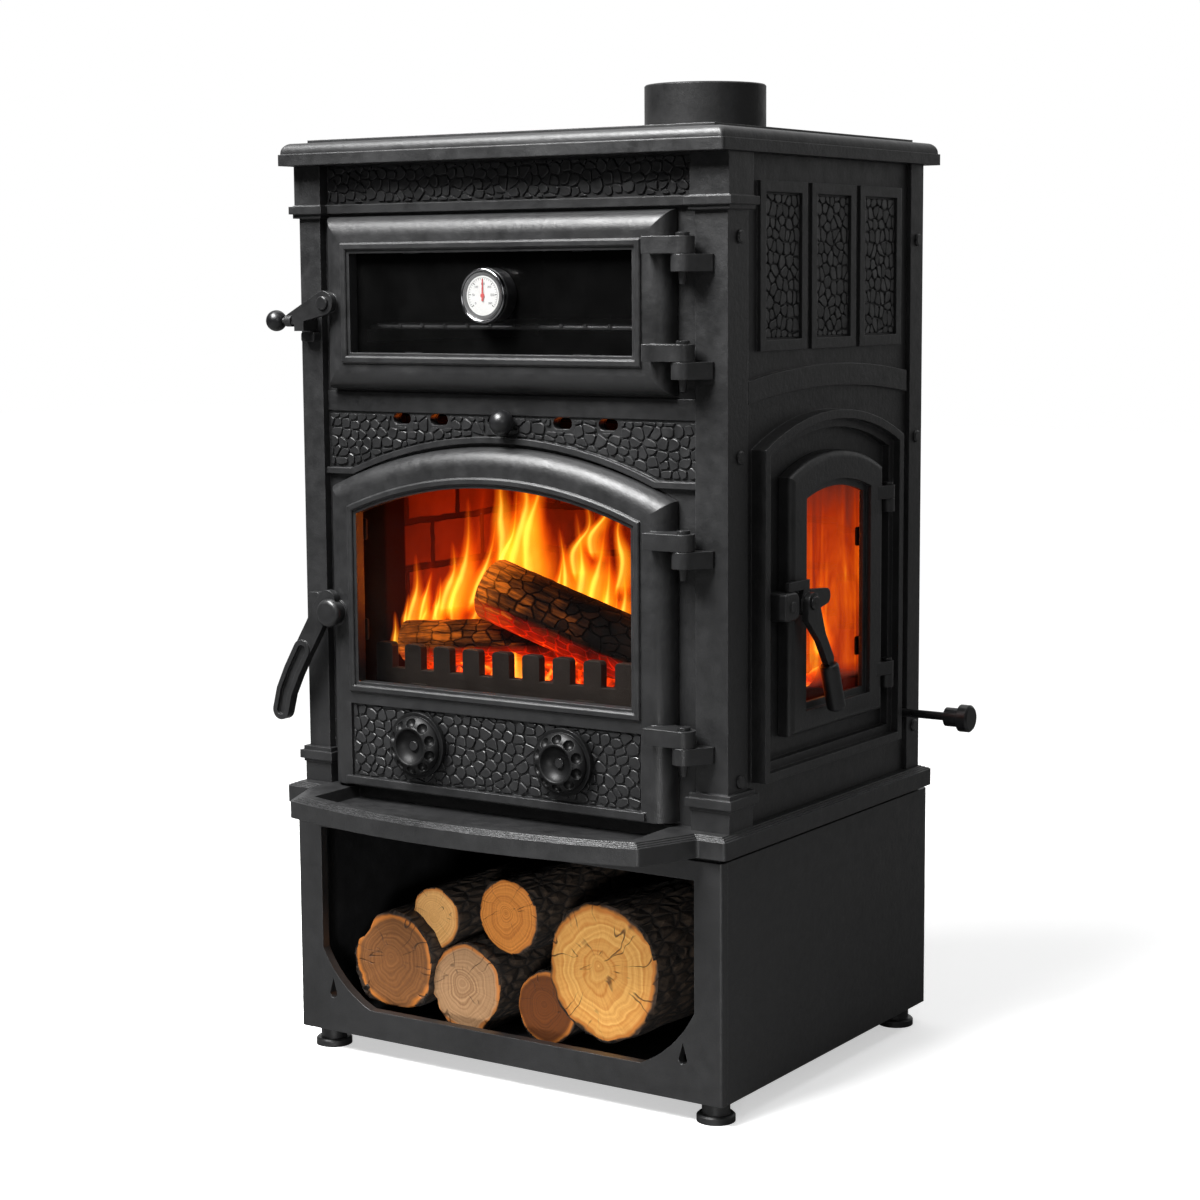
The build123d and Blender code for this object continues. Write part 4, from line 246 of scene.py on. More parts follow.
def smooth(piece, degrees=40):
    """Shades a piece smooth, but for its edges that are sharper than an angle."""
    alone(piece)
    bpy.ops.object.shade_smooth_by_angle(angle=math.radians(degrees))
    return piece


def settle(piece):
    """Puts a piece's place into its mesh."""
    alone(piece)
    bpy.ops.object.transform_apply(location=True, rotation=True, scale=True)
    return piece


def displaced(piece, kind, grain, strength, **settings):
    """Raises a piece's surface by a cloudy or cellular texture, for good."""
    texture = bpy.data.textures.new(piece.name + " relief", kind)
    texture.noise_scale = grain
    if kind == "CLOUDS":
        texture.noise_depth = 3
    alone(piece)
    relief = piece.modifiers.new("relief", "DISPLACE")
    relief.texture = texture
    relief.texture_coords = "LOCAL"
    relief.strength = strength
    for key, value in settings.items():
        setattr(relief, key, value)
    bpy.ops.object.modifier_apply(modifier="relief")
    return smooth(piece, 60)


def fit(piece, finish, body, slot, *stands_for):
    """Gives a piece its finish, and the body that it moves with."""
    piece.data.materials.clear()
    piece.data.materials.append(bpy.data.materials[finish])
    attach(piece, body)
    if stands_for:
        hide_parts(*stands_for)


# Finishes


def shaded(colour, share):
    """A colour made darker or lighter."""
    return tuple(min(1, c * share) for c in colour)


class Flow:
    """A value on its way through a tree of nodes. A sum or product with it adds a node."""

    def __init__(self, nodes, socket):
        self.nodes, self.socket = nodes, socket

    def __add__(self, other):
        return self.nodes.math("ADD", self, other)

    def __sub__(self, other):
        return self.nodes.math("SUBTRACT", self, other)

    def __rsub__(self, other):
        return self.nodes.math("SUBTRACT", other, self)

    def __mul__(self, other):
        return self.nodes.math("MULTIPLY", self, other)

    def __truediv__(self, other):
        return self.nodes.math("DIVIDE", self, other)

    def __pow__(self, other):
        return self.nodes.math("POWER", self, other)

    def __abs__(self):
        return self.nodes.math("ABSOLUTE", self)

    def held(self):
        """Keeps the last sum or product between 0 and 1."""
        self.socket.node.use_clamp = True
        return self

    def spread(self, low, high, out_low=0.0, out_high=1.0, **settings):
        """Stretches a range of the value over another one."""
        return self.nodes.read("ShaderNodeMapRange", {
            "Value": self, "From Min": low, "From Max": high, "To Min": out_low, "To Max": out_high},
            **settings)


class Nodes:
    """A tree of nodes, and what is built in it."""

    def __init__(self, tree):
        self.tree = tree

    def plug(self, value, socket):
        """Feeds a socket from a flow, or sets it to a number or colour."""
        if isinstance(value, Flow):
            self.tree.links.new(value.socket, socket)
        else:
            socket.default_value = (*value, 1.0) if socket.type == "RGBA" else value

    def node(self, kind, inputs=(), **settings):
        made = self.tree.nodes.new(kind)
        for key, value in settings.items():
            setattr(made, key, value)
        for key, value in dict(inputs).items():
            self.plug(value, made.inputs[key])
        return made

    def read(self, kind, inputs=(), output=0, **settings):
        """What one output of a new node gives."""
        return Flow(self, self.node(kind, inputs, **settings).outputs[output])

    def math(self, operation, a, b=0.0):
        return self.read("ShaderNodeMath", {0: a, 1: b, 2: 0.0}, operation=operation)

    def vector(self, operation, inputs, output="Vector"):
        return self.read("ShaderNodeVectorMath", inputs, output, operation=operation)


class Finish(Nodes):
    """A material and the nodes that feed its shader."""

    def __init__(self, name):
        self.material = bpy.data.materials.new(name)
        self.material.use_nodes = True
        super().__init__(self.material.node_tree)
        self.shader = self.tree.nodes["Principled BSDF"]
        self.place = self.read("ShaderNodeTexCoord", output="Object")

    def noise(self, scale, detail=3.0, rough=0.55, vector=None, distort=0.0):
        return self.read("ShaderNodeTexNoise", {
            "Vector": vector or self.place, "Scale": scale, "Detail": detail,
            "Roughness": rough, "Distortion": distort})

    def joined(self, x, y, z=0.0):
        return self.read("ShaderNodeCombineXYZ", {"X": x, "Y": y, "Z": z})

    def split(self, vector):
        return [Flow(self, out) for out in self.node("ShaderNodeSeparateXYZ", {0: vector}).outputs]

    def sheet_map(self):
        """Across and up on a sheet's own map."""
        return self.split(self.read("ShaderNodeUVMap"))[:2]

    def mix(self, share, a, b):
        made = self.node("ShaderNodeMix", {"Factor": share}, data_type="RGBA")
        for name, value in (("A", a), ("B", b)):
            self.plug(value, next(s for s in made.inputs if s.name == name and s.type == "RGBA"))
        return Flow(self, next(s for s in made.outputs if s.type == "RGBA"))

    def ramp(self, value, *stops):
        made = self.node("ShaderNodeValToRGB", {"Fac": value})
        band = made.color_ramp
        while len(band.elements) < len(stops):
            band.elements.new(0.5)
        for element, (place, colour) in zip(band.elements, stops):
            element.position = place
            element.color = (*colour, 1.0)
        return Flow(self, made.outputs["Color"])

    def bump(self, height, distance, strength, normal=None):
        inputs = {"Height": height, "Distance": distance, "Strength": strength}
        if normal is not None:
            inputs["Normal"] = normal
        return self.read("ShaderNodeBump", inputs)

    def mapped(self, scale=(1, 1, 1), rotation=(0, 0, 0)):
        return self.read("ShaderNodeMapping", {
            "Vector": self.place, "Scale": scale, "Rotation": rotation})

    def cells(self, scale, vector=None):
        """How far it is to the edge of an irregular cell."""
        return self.read("ShaderNodeTexVoronoi", {"Vector": vector or self.place, "Scale": scale},
                         "Distance", feature="DISTANCE_TO_EDGE")

    def feed(self, **flows):
        """Links flows to the shader's sockets, named with _ for a space."""
        for key, flow in flows.items():
            self.tree.links.new(flow.socket, self.shader.inputs[key.replace("_", " ")])

    def set(self, **values):
        """Sets the shader's constants, and gives the material."""
        for key, value in values.items():
            self.shader.inputs[key.replace("_", " ")].default_value = value
        return self.material


def cast_iron(name, colour, worn, roughness, grain=1.0, wear_and_highlight=1.0, edge=1.4, gloss=0.55):
    """Blackened casting: sandy skin, cloudy roughness, and edges painted a little brighter, partly as rubbed
    wear and partly as a painted highlight.
    """
    made = Finish(name)
    rounded = made.read("ShaderNodeBevel", {"Radius": edge * MM}, samples=4)
    plain = made.read("ShaderNodeNewGeometry", output="Normal")
    agree = made.vector("DOT_PRODUCT", {0: rounded, 1: plain}, "Value")
    # Edges found from the rounded normal turn towards the worn colour: partly rubbed wear, partly a painted
    # highlight.
    rub_and_highlight = (agree.spread(0.995, 0.80) * made.noise(130, 4, 0.6).spread(0.32, 0.62)).held()
    cloud, fine = made.noise(9, 4, 0.6), made.noise(60, 3, 0.6)
    skin = made.mix((cloud + fine * 0.5).spread(0.5, 0.95), shaded(colour, 0.72), shaded(colour, 1.3))
    rough = (fine + cloud * 0.6).spread(0.5, 1.1, roughness - 0.08, roughness + 0.12)
    orange_peel = made.bump(made.noise(170, 2, 0.5), 0.0009 * grain, 0.35, rounded)
    made.feed(Base_Color=made.mix(rub_and_highlight * (0.75 * wear_and_highlight), skin, worn),
              Roughness=rough - rub_and_highlight * 0.14,
              Normal=made.bump(made.noise(620, 3, 0.7), 0.0003 * grain, 0.5, orange_peel))
    return made.set(Metallic=0.0, Specular_IOR_Level=gloss)


def black_grip(name, colour):
    """Satin black of a ball or grip, with the faint haze of handling."""
    made = Finish(name)
    rounded = made.read("ShaderNodeBevel", {"Radius": 1.2 * MM}, samples=4)
    haze = made.noise(45, 4, 0.6)
    made.feed(Base_Color=made.mix(haze.spread(0.4, 0.7), colour, shaded(colour, 2.2)),
              Roughness=haze.spread(0.3, 0.7, 0.28, 0.42),
              Normal=made.bump(made.noise(400, 2, 0.6), 0.00012, 0.4, rounded))
    return made.set(Specular_IOR_Level=0.5)


def brushed(name, colour, roughness, metallic=1.0):
    """Steel with a fine drawn or turned grain."""
    made = Finish(name)
    grain = made.noise(300, 3, 0.6, made.mapped((1, 1, 14)))
    made.feed(Base_Color=made.mix(made.noise(28, 3).spread(0.35, 0.7), shaded(colour, 0.8), colour),
              Roughness=grain.spread(0.3, 0.7, roughness - 0.06, roughness + 0.1),
              Normal=made.bump(grain, 0.0001, 0.3))
    return made.set(Metallic=metallic)


def stove_glass(name, tint, alpha, haze):
    """Clear ceramic glass with a trace of smoke on it, more mirror-like at a low angle."""
    made = Finish(name)
    film = made.noise(14, 4, 0.6)
    lean = made.read("ShaderNodeLayerWeight", {"Blend": 0.35}, "Fresnel")
    smoked = tuple(min(1, c + haze) for c in tint)
    made.feed(Alpha=(film.spread(0.3, 0.7, alpha * 0.75, alpha * 1.25) + lean * 0.5).held(),
              Base_Color=made.mix(film.spread(0.4, 0.65), tint, smoked),
              Roughness=film.spread(0.3, 0.7, 0.04, 0.12))
    return made.set(Specular_IOR_Level=0.6)


def woven_seal(name):
    """Dark rope seal with its twist."""
    made = Finish(name)
    twist = made.read("ShaderNodeTexWave", {
        "Vector": made.mapped(rotation=(0.5, 0.6, 0.7)), "Scale": 130.0, "Distortion": 3.0}, "Fac")
    made.feed(Base_Color=made.mix(twist, (0.03, 0.03, 0.03), (0.11, 0.11, 0.105)),
              Roughness=made.noise(200).spread(0.3, 0.7, 0.8, 0.95),
              Normal=made.bump(twist, 0.0006, 0.7))
    return made.material


# Firebricks and their joints, and the heights between which soot blackens them, in metres
BRICK_WIDE, BRICK_HIGH, BRICK_JOINT = 0.105, 0.058, 0.0045
SOOT_FROM, SOOT_TO = 0.668, 0.700
# The cheek's edge and the strip of lighter soot along it, in millimetres
CHEEK_EDGE, CHEEK_STRIP = 1.5, (42, 36)


def fire_brick(name, colour, cheek=None):
    """Bricks darkened by soot, laid in courses, with sandy joints, and black near the roof.
    In front of the cheek line the wall is smooth and black."""
    made = Finish(name)
    x, y, z = made.split(made.place)
    wobble = made.noise(30, 3, 0.6)
    laid_at = made.vector("ADD", {0: made.joined(x + y, z), 1: made.joined(wobble * 0.008, wobble * 0.006)})
    bricks = made.node("ShaderNodeTexBrick", {
        "Vector": laid_at, "Scale": 1.0, "Mortar Size": BRICK_JOINT, "Mortar Smooth": 0.3, "Bias": 0.0,
        "Brick Width": BRICK_WIDE, "Row Height": BRICK_HIGH, "Color1": colour,
        "Color2": shaded(colour, 0.62), "Mortar": shaded(colour, 0.16)})
    face, joint = (Flow(made, bricks.outputs[name]) for name in ("Color", "Fac"))
    face = made.mix(made.noise(7, 4, 0.65).spread(0.45, 0.75), face, shaded(colour, 0.3))
    if cheek is not None:
        back = y.spread(cheek - CHEEK_EDGE * MM, cheek + CHEEK_EDGE * MM)
        lighter = y.spread(*(cheek - far * MM for far in CHEEK_STRIP))
        strip = made.mix(lighter, (0.001, 0.0008, 0.0008), shaded(colour, 0.07))
        face = made.mix(back, strip, face)
        joint = joint * back
    made.feed(Base_Color=made.mix(z.spread(SOOT_FROM, SOOT_TO), face, shaded(colour, 0.01)),
              Roughness=wobble.spread(0.3, 0.7, 0.8, 0.95),
              Normal=made.bump(joint, -0.004, 0.9, made.bump(made.noise(170, 4, 0.7), 0.0015, 0.5)))
    return made.set(Specular_IOR_Level=0.08)


def dial_paint(name, colour):
    """Matt enamel of the dial and its needle, a little uneven."""
    made = Finish(name)
    cloud = made.noise(60, 3)
    made.feed(Base_Color=made.mix(cloud.spread(0.4, 0.7), colour, shaded(colour, 0.93)),
              Roughness=cloud.spread(0.3, 0.7, 0.38, 0.5),
              Normal=made.bump(made.noise(900, 2), 0.00005, 0.3))
    return made.material


def dial_ink(name):
    """Black ink of the dial's marks and numbers."""
    made = Finish(name)
    made.feed(Base_Color=made.mix(made.noise(300), (0.02, 0.02, 0.02), (0.05, 0.05, 0.05)),
              Roughness=made.noise(200).spread(0.3, 0.7, 0.45, 0.6))
    return made.material


# Cobbled panels

# Stones are flatter on the front, and taller at a closer pitch on the sides. The door's rise more
FLATTER, TALLER, CLOSER, DOOR_HIGHER = 0.9, 1.18, 0.94, 1.1
# Free edge round the friezes' stones, and above the shoulder and the apex of the door's moulding
UPPER_EDGE, LOWER_EDGE, SHOULDER_CLEAR, ARCH_CLEAR = 5, 3, 3.5, 4.5
# Shares of the pitch: how unevenly stones lie across and up, steps in a row, and the next row
JITTER, STEPS, NEXT_ROW = (0.36, 0.34), (0.82, 1.2), 0.9
# Shares of the pitch: the smallest stone, and how far a stone's neighbours count
LEAST, REACH = 0.3, 2.6
# The share of a side cut off at a corner, the shortest side, how deep stones lie and how they lean
CORNER_CUT, SHORTEST, SUNK, LEAN = 0.2, 0.35, (-0.75, -0.2), 0.045
# A stone rises in two steps that draw it in a little, and is shaded smooth below this angle
COBBLE_STEPS, COBBLE_EDGE = ((0.80, 0.965), (0.20, 0.90)), 25
# What the random draws start from: for the outlines, and for how the stones lie
UPPER_DRAWS, LOWER_DRAWS, DOOR_DRAWS, SIDE_DRAWS = (11, 12), (21, 22), (31, 32), (41, 50)


def around(shape):
    """Each corner of an outline with the next one."""
    return zip(shape, shape[1:] + shape[:1])


def clipped(shape, point, normal):
    """What is left of a convex outline on the side of a line that its normal points to."""
    kept = []
    for here, there in around(shape):
        a = (here - point).dot(normal)
        b = (there - point).dot(normal)
        if a >= 0:
            kept.append(here)
        if (a >= 0) != (b >= 0):
            kept.append(here + (there - here) * (a / (a - b)))
    return kept


def area_of(shape):
    """Area of an outline, below 0 where it runs clockwise."""
    return 0.5 * sum(a.x * b.y - b.x * a.y for a, b in around(shape))


def middle_of(shape):
    """The middle of an outline's corners."""
    return sum(shape, Vector((0, 0))) / len(shape)


def drawn_in(shape, margin):
    """A convex outline made smaller all round."""
    small = shape
    for a, b in around(shape):
        along = b - a
        if along.length < 1e-6:
            continue
        inward = Vector((-along.y, along.x)).normalized()
        small = clipped(small, a + inward * margin, inward)
        if len(small) < 3:
            return []
    return small


def rounded_corners(shape):
    """The outline with each corner cut, so that a stone looks worn."""
    cut = []
    for a, b in around(shape):
        cut += [a.lerp(b, CORNER_CUT), a.lerp(b, 1 - CORNER_CUT)]
    slim = [p for i, p in enumerate(cut) if (p - cut[i - 1]).length > SHORTEST]
    return slim if len(slim) > 3 else []


def round_hole(shape, x, y, half_wide, half_high):
    """The part of a cell that leaves a hole free: a round one where both halves are equal."""
    if half_wide == half_high:
        away = middle_of(shape) - Vector((x, y))
        if away.length < 1e-6:
            return []
        away.normalize()
        return clipped(shape, Vector((x, y)) + away * half_wide, away)
    if all(abs(p.x - x) > half_wide or abs(p.y - y) > half_high for p in shape) and \
            abs(middle_of(shape).x - x) > half_wide:
        return shape
    sides = [clipped(shape, Vector((x + sx * half_wide, y + sy * half_high)), Vector((sx, sy)))
             for sx, sy in ((-1, 0), (1, 0), (0, -1), (0, 1))]
    sides = [s for s in sides if len(s) > 2]
    return max(sides, key=area_of) if sides else []


def scattered(draw, box, pitch, stretch):
    """Uneven places in rows over a box and a little round it, one for each cobble."""
    left, right, bottom, top = box
    found = []
    row = 0
    v = bottom - pitch
    while v < top + 2 * pitch:
        u = left - 2 * pitch + (row % 2) * pitch / 2
        while u < right + 2 * pitch:
            found.append(Vector((u + draw.uniform(-JITTER[0], JITTER[0]) * pitch,
                                 v + draw.uniform(-JITTER[1], JITTER[1]) * pitch * stretch)))
            u += pitch * draw.uniform(*STEPS)
        v += pitch * NEXT_ROW * stretch
        row += 1
    return found


def stones(seed, box, stretch, closer=1.0, low=None, holes=()):
    """Outlines of irregular cobbles that fill a box, above a low edge and round some holes."""
    pitch, gap = sizes().cobble_pitch / MM * closer, sizes().cobble_gap / MM
    seeds = scattered(random.Random(seed), box, pitch, stretch)
    left, right, bottom, top = box
    walls = (((left, 0), (1, 0)), ((right, 0), (-1, 0)), ((0, bottom), (0, 1)), ((0, top), (0, -1)))
    least = (LEAST * pitch) ** 2
    reach = REACH * pitch * max(stretch, 1.0)
    found = []
    for here in seeds:
        if not (left - pitch < here.x < right + pitch and bottom - pitch < here.y < top + pitch):
            continue
        shape = [here + Vector(p) * reach for p in ((-1, -1), (1, -1), (1, 1), (-1, 1))]
        for there in seeds:
            if there is not here and (there - here).length < 2 * reach:
                shape = clipped(shape, (here + there) / 2, here - there)
                if len(shape) < 3:
                    break
        for point, normal in walls:
            if len(shape) > 2:
                shape = clipped(shape, Vector(point), Vector(normal))
        if len(shape) > 2 and low is not None:
            u = middle_of(shape).x
            a, b = Vector((u - 3, low(u - 3))), Vector((u + 3, low(u + 3)))
            shape = clipped(shape, a, Vector((a.y - b.y, b.x - a.x)))
        for hole in holes:
            if len(shape) > 2:
                shape = round_hole(shape, *hole)
        if len(shape) < 3 or area_of(shape) < least:
            continue
        shape = drawn_in(shape, gap / 2)
        if len(shape) > 2 and area_of(shape) > least:
            shape = rounded_corners(shape)
            if shape:
                found.append(shape)
    return found


def raise_faces(piece, out, share):
    """Extrudes each picked face by itself, then draws its corners in towards its middle."""
    with editing(piece):
        bpy.ops.mesh.inset(use_individual=True, thickness=0.0, depth=out)
    mesh = piece.data
    for face in mesh.polygons:
        if face.select:
            middle = face.center.copy()
            for index in face.vertices:
                place = mesh.vertices[index].co
                mesh.vertices[index].co = middle + (place - middle) * share


def cobbles(name, outlines, spot, seed, body, slot, taller=1.0):
    """Flat-topped cobbles on a panel. spot(u, v, out) gives the place of a point of the panel."""
    rise = sizes().cobble_rise * taller
    draw = random.Random(seed)
    shapes = []
    for shape in outlines:
        middle = middle_of(shape)
        sunk = draw.uniform(*SUNK)
        lean = Vector((draw.uniform(-LEAN, LEAN), draw.uniform(-LEAN, LEAN)))
        shapes.append([spot(p.x, p.y, sunk + lean.dot(p - middle)) for p in shape])
    piece = flat_shapes(name, shapes)
    outward = (spot(0, 0, 1) - spot(0, 0, 0)).normalized()
    pick(piece, lambda face: face.normal.dot(outward) > 0)
    for share, closer in COBBLE_STEPS:
        raise_faces(piece, rise * share, closer)
    fit(smooth(piece, COBBLE_EDGE), "cobble iron", body, slot)


def arch_low(u):
    """Top edge of the moulding that arches over the fire door, at a distance across."""
    if abs(u - DOOR_X) > ARCH_HALF:
        return ARCH_SHOULDER + SHOULDER_CLEAR
    rise = ARCH_APEX - ARCH_SHOULDER
    radius = (ARCH_HALF ** 2 + rise ** 2) / (2 * rise)
    return ARCH_APEX - radius + math.sqrt(radius ** 2 - (u - DOOR_X) ** 2) + ARCH_CLEAR


def front_spot(face_y):
    """Gives the places of points on the stove's front, each so far out of one face."""
    return lambda u, v, out: at(u, face_y - out, v)


class STOVE_OT_frieze_cobbles(bpy.types.Operator):
    """Lay the cobbles of the two friezes on the front of the stove"""

    bl_idname = "stove.frieze_cobbles"
    bl_label = "Frieze cobbles"

    def execute(self, context):
        slots = [(x, SLOT_Z, *SLOT_HALF) for x in SLOT_X]
        upper_box = (FRIEZE_LEFT + UPPER_EDGE, FRIEZE_RIGHT - UPPER_EDGE, *UPPER_FRIEZE)
        lower_box = (FRIEZE_LEFT + LOWER_EDGE, FRIEZE_RIGHT - LOWER_EDGE, ARCH_SHOULDER, LOWER_FRIEZE_TOP)
        upper = stones(UPPER_DRAWS[0], upper_box, FLATTER)
        lower = stones(LOWER_DRAWS[0], lower_box, FLATTER, low=arch_low, holes=slots + [KNOB_SLOT])
        for tag, outlines, seed in (("upper", upper, UPPER_DRAWS[1]), ("lower", lower, LOWER_DRAWS[1])):
            cobbles("frieze_cobbles_" + tag, outlines, front_spot(FRAME_Y), seed, "stove", "front_casting")
        return {"FINISHED"}


class STOVE_OT_door_cobbles(bpy.types.Operator):
    """Lay the cobbles of the fire door's lower field, round the two air wheels"""

    bl_idname = "stove.door_cobbles"
    bl_label = "Fire door cobbles"

    def execute(self, context):
        wheels = [(x, WHEEL_Z, WHEEL_CLEAR, WHEEL_CLEAR) for x in WHEELS]
        field = stones(DOOR_DRAWS[0], FIELD, FLATTER, holes=wheels)
        cobbles("fire_door_cobbles", field, front_spot(FIELD_Y), DOOR_DRAWS[1], "fire_door", "front_casting",
                DOOR_HIGHER)
        return {"FINISHED"}


class STOVE_OT_side_cobbles(bpy.types.Operator):
    """Lay the cobbles in the three raised frames of each side panel"""

    bl_idname = "stove.side_cobbles"
    bl_label = "Side panel cobbles"

    def execute(self, context):
        width = (SIDE_END - SIDE_START - 2 * SIDE_BETWEEN) / 3
        for side, sign in (("right", 1), ("left", -1)):
            shapes = []
            for index in range(3):
                edge = SIDE_START + index * (width + SIDE_BETWEEN)
                box = (edge + SIDE_BAR, edge + width - SIDE_BAR, *SIDE_Z)
                shapes += stones(SIDE_DRAWS[0] + index, box, TALLER, CLOSER)
            cobbles("side_cobbles_" + side, shapes,
                    lambda u, v, out, sign=sign: at(sign * (PANEL_X + out), u, v),
                    SIDE_DRAWS[1], "stove", "casing")
        return {"FINISHED"}


class STOVE_OT_frieze_strip(bpy.types.Operator):
    """Fit the plain raised strip above the lower frieze"""

    bl_idname = "stove.frieze_strip"
    bl_label = "Plain strip of the frieze"

    def execute(self, context):
        low, high = STRIP_Z
        corners = [at(x, FRAME_Y, z) for x, z in (
            (FRIEZE_LEFT, low), (FRIEZE_RIGHT, low), (FRIEZE_RIGHT, high), (FRIEZE_LEFT, high))]
        piece = drawn("frieze_strip", corners, [(0, 1, 2, 3)])
        with editing(piece):
            bpy.ops.mesh.select_all(action="SELECT")
            bpy.ops.mesh.extrude_region_move(TRANSFORM_OT_translate={"value": (0, -STRIP_THICK * MM, 0)})
            bpy.ops.mesh.select_all(action="SELECT")
            bpy.ops.mesh.normals_make_consistent(inside=False)
        front = at(0, FRAME_Y - STRIP_THICK, 0).y
        pick(piece, lambda a, b: abs(a.y - front) < 1e-5 and abs(b.y - front) < 1e-5, "EDGE")
        with editing(piece, "EDGE"):
            bpy.ops.mesh.bevel(offset=STRIP_EDGE * MM, segments=3, affect="EDGES")
        fit(smooth(piece), "front casting iron", "stove", "front_casting")
        return {"FINISHED"}


# Castings


SLOT_FINISH = {
    "casing": "casing iron", "front_casting": "front casting iron", "collar_casting": "collar iron",
    "lever_casting": "lever iron", "fixings": "blackened fixings", "grips": "black grips",
    "rod": "rod black", "rack_wire": "rack wire", "glass": "fire glass", "seal": "rope seal",
    "clip_steel": "clip steel", "gauge_case": "gauge case", "dial": "dial enamel",
    "lens": "gauge lens", "needle": "needle red", "oven_sheet": "oven enamel",
    "grate_iron": "grate iron", "firebrick": "back firebrick", "feet_iron": "feet iron",
}

# Parts whose finish differs from the rest of their slot
NODE_FINISH = {
    "oven_door_glass": "oven glass", "firebricks_side": "side firebrick", "baffle_plate": "sooty brick",
    "fire_glass_clips": "grate iron", "side_glass_clips": "grate iron",
    "air_wheel_left": "wheel black", "air_wheel_right": "wheel black",
}

# Castings in the stove's own iron: how dark, how much rougher, and what else differs, such as how much the
# edges are painted brighter, partly as rubbed wear and partly as a painted highlight
IRONS = (
    ("casing iron", 1, 0, {}),
    ("front casting iron", 1.12, -0.03, {}),
    ("collar iron", 0.7, 0.06, {"grain": 0.6, "wear_and_highlight": 0.7, "gloss": 0.30}),
    ("cobble iron", 1.1, -0.05, {"wear_and_highlight": 1.3, "edge": 0.45}),
    ("wheel black", 0.45, -0.02, {"grain": 0.2, "wear_and_highlight": 0.5, "edge": 1.0, "gloss": 0.22}),
    ("lever iron", 1, -0.08, {"grain": 0.8, "edge": 1.0}),
    ("blackened fixings", 0.9, -0.12, {"grain": 0.4, "edge": 0.8}),
    ("rod black", 0.7, -0.12, {"grain": 0.3, "wear_and_highlight": 0.6, "edge": 0.8}),
    ("feet iron", 0.8, 0, {"wear_and_highlight": 0.6}),
)

# How far back the smooth black cheeks of the firebox reach
CHEEK_Y = 158


def node_slots():
    """The record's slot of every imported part."""
    found = {part["node"]: part["material_slot"] for part in frame["record"]["subparts"]}
    missing = sorted(set(frame["nodes"]) - set(found))
    if missing:
        raise RuntimeError("no material slot is known for " + ", ".join(missing))
    return found


class STOVE_OT_castings(bpy.types.Operator):
    """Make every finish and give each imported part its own"""

    bl_idname = "stove.castings"
    bl_label = "Finishes of the castings"

    def execute(self, context):
        own = finishes()
        for name, dark, rougher, other in IRONS:
            cast_iron(name, shaded(own.iron, dark), tuple(own.iron_worn),
                      own.iron_roughness + rougher, **other)
        cast_iron("oven enamel", (0.006, 0.006, 0.0065), (0.03, 0.03, 0.03), 0.42,
                  grain=0.4, wear_and_highlight=0.4, gloss=0.2)
        cast_iron("grate iron", (0.024, 0.017, 0.013), (0.10, 0.075, 0.055), 0.6, grain=1.3, gloss=0.3)
        black_grip("black grips", tuple(own.grip))
        brushed("rack wire", (0.75, 0.75, 0.76), 0.35, 0.75)
        brushed("clip steel", (0.36, 0.36, 0.37), 0.38, 0.7)
        brushed("gauge case", (0.34, 0.34, 0.35), 0.13)
        stove_glass("fire glass", (0.006, 0.005, 0.005), 0.03, 0.004)
        stove_glass("oven glass", (0.005, 0.005, 0.005), 0.30, 0.003)
        stove_glass("gauge lens", (0.6, 0.6, 0.6), 0.04, 0.0)
        woven_seal("rope seal")
        fire_brick("back firebrick", tuple(own.brick))
        fire_brick("side firebrick", tuple(own.brick), at(0, CHEEK_Y, 0).y)
        fire_brick("sooty brick", shaded(own.brick, 0.03))
        dial_paint("dial enamel", tuple(own.dial))
        dial_paint("needle red", tuple(own.needle))
        dial_ink("dial ink")
        slots = node_slots()
        for name, node in frame["nodes"].items():
            finish = NODE_FINISH.get(name, SLOT_FINISH[slots[name]])
            node.data.materials.clear()
            node.data.materials.append(bpy.data.materials[finish])
        return {"FINISHED"}


# Oven gauge

GAUGE_X, GAUGE_Z, GAUGE_STEPS = -10.0, 915.0, 96
# The case as (radius, depth) points, from its back round the rolled rim to the dial
CASE_PROFILE = (
    (0, 20), (30.2, 20), (31, 19.2), (31, 1.5), (30.2, 0.9), (30.2, -0.1), (31, -0.7), (31, -3.6),
    (30.7, -4.9), (29.9, -5.8), (28.9, -6.0), (28.1, -5.7), (27.6, -4.9), (26.3, -4.3),
    (24.0, -3.5), (22.4, -3.2), (22.4, -2.2), (0, -2.2))
RIM_FRONT, RIM_RADIUS = -0.6, 27.5
# The dial's marks run 130 degrees to each side of its top
DIAL_START, DIAL_SWEEP = -130, 260
# A tick's inner and outer radius and half its width, and a thin line outside the ticks
TICKS, TALL_TICK, SHORT_TICK = 30, (16.4, 19.4, 0.5), (17.9, 19.4, 0.26)
LINE_INNER, LINE_OUTER, LINE_STEP = 19.9, 20.3, 4
MARKS_Y, INK_EDGE, INK_RISE = -2.95, 0.02, 0.12
# Numbers: how many, how far one is from the next, and their place, size and thickness
NUMBERS, NUMBER_APART = 7, 50
NUMBERS_Y, NUMBERS_OUT, NUMBERS_SIZE, NUMBERS_RISE = -3.05, 13.2, 3.7, 0.06


def dial_way(degrees):
    """Direction from the dial's middle at an angle from its top."""
    return Vector((math.sin(math.radians(degrees)), math.cos(math.radians(degrees))))


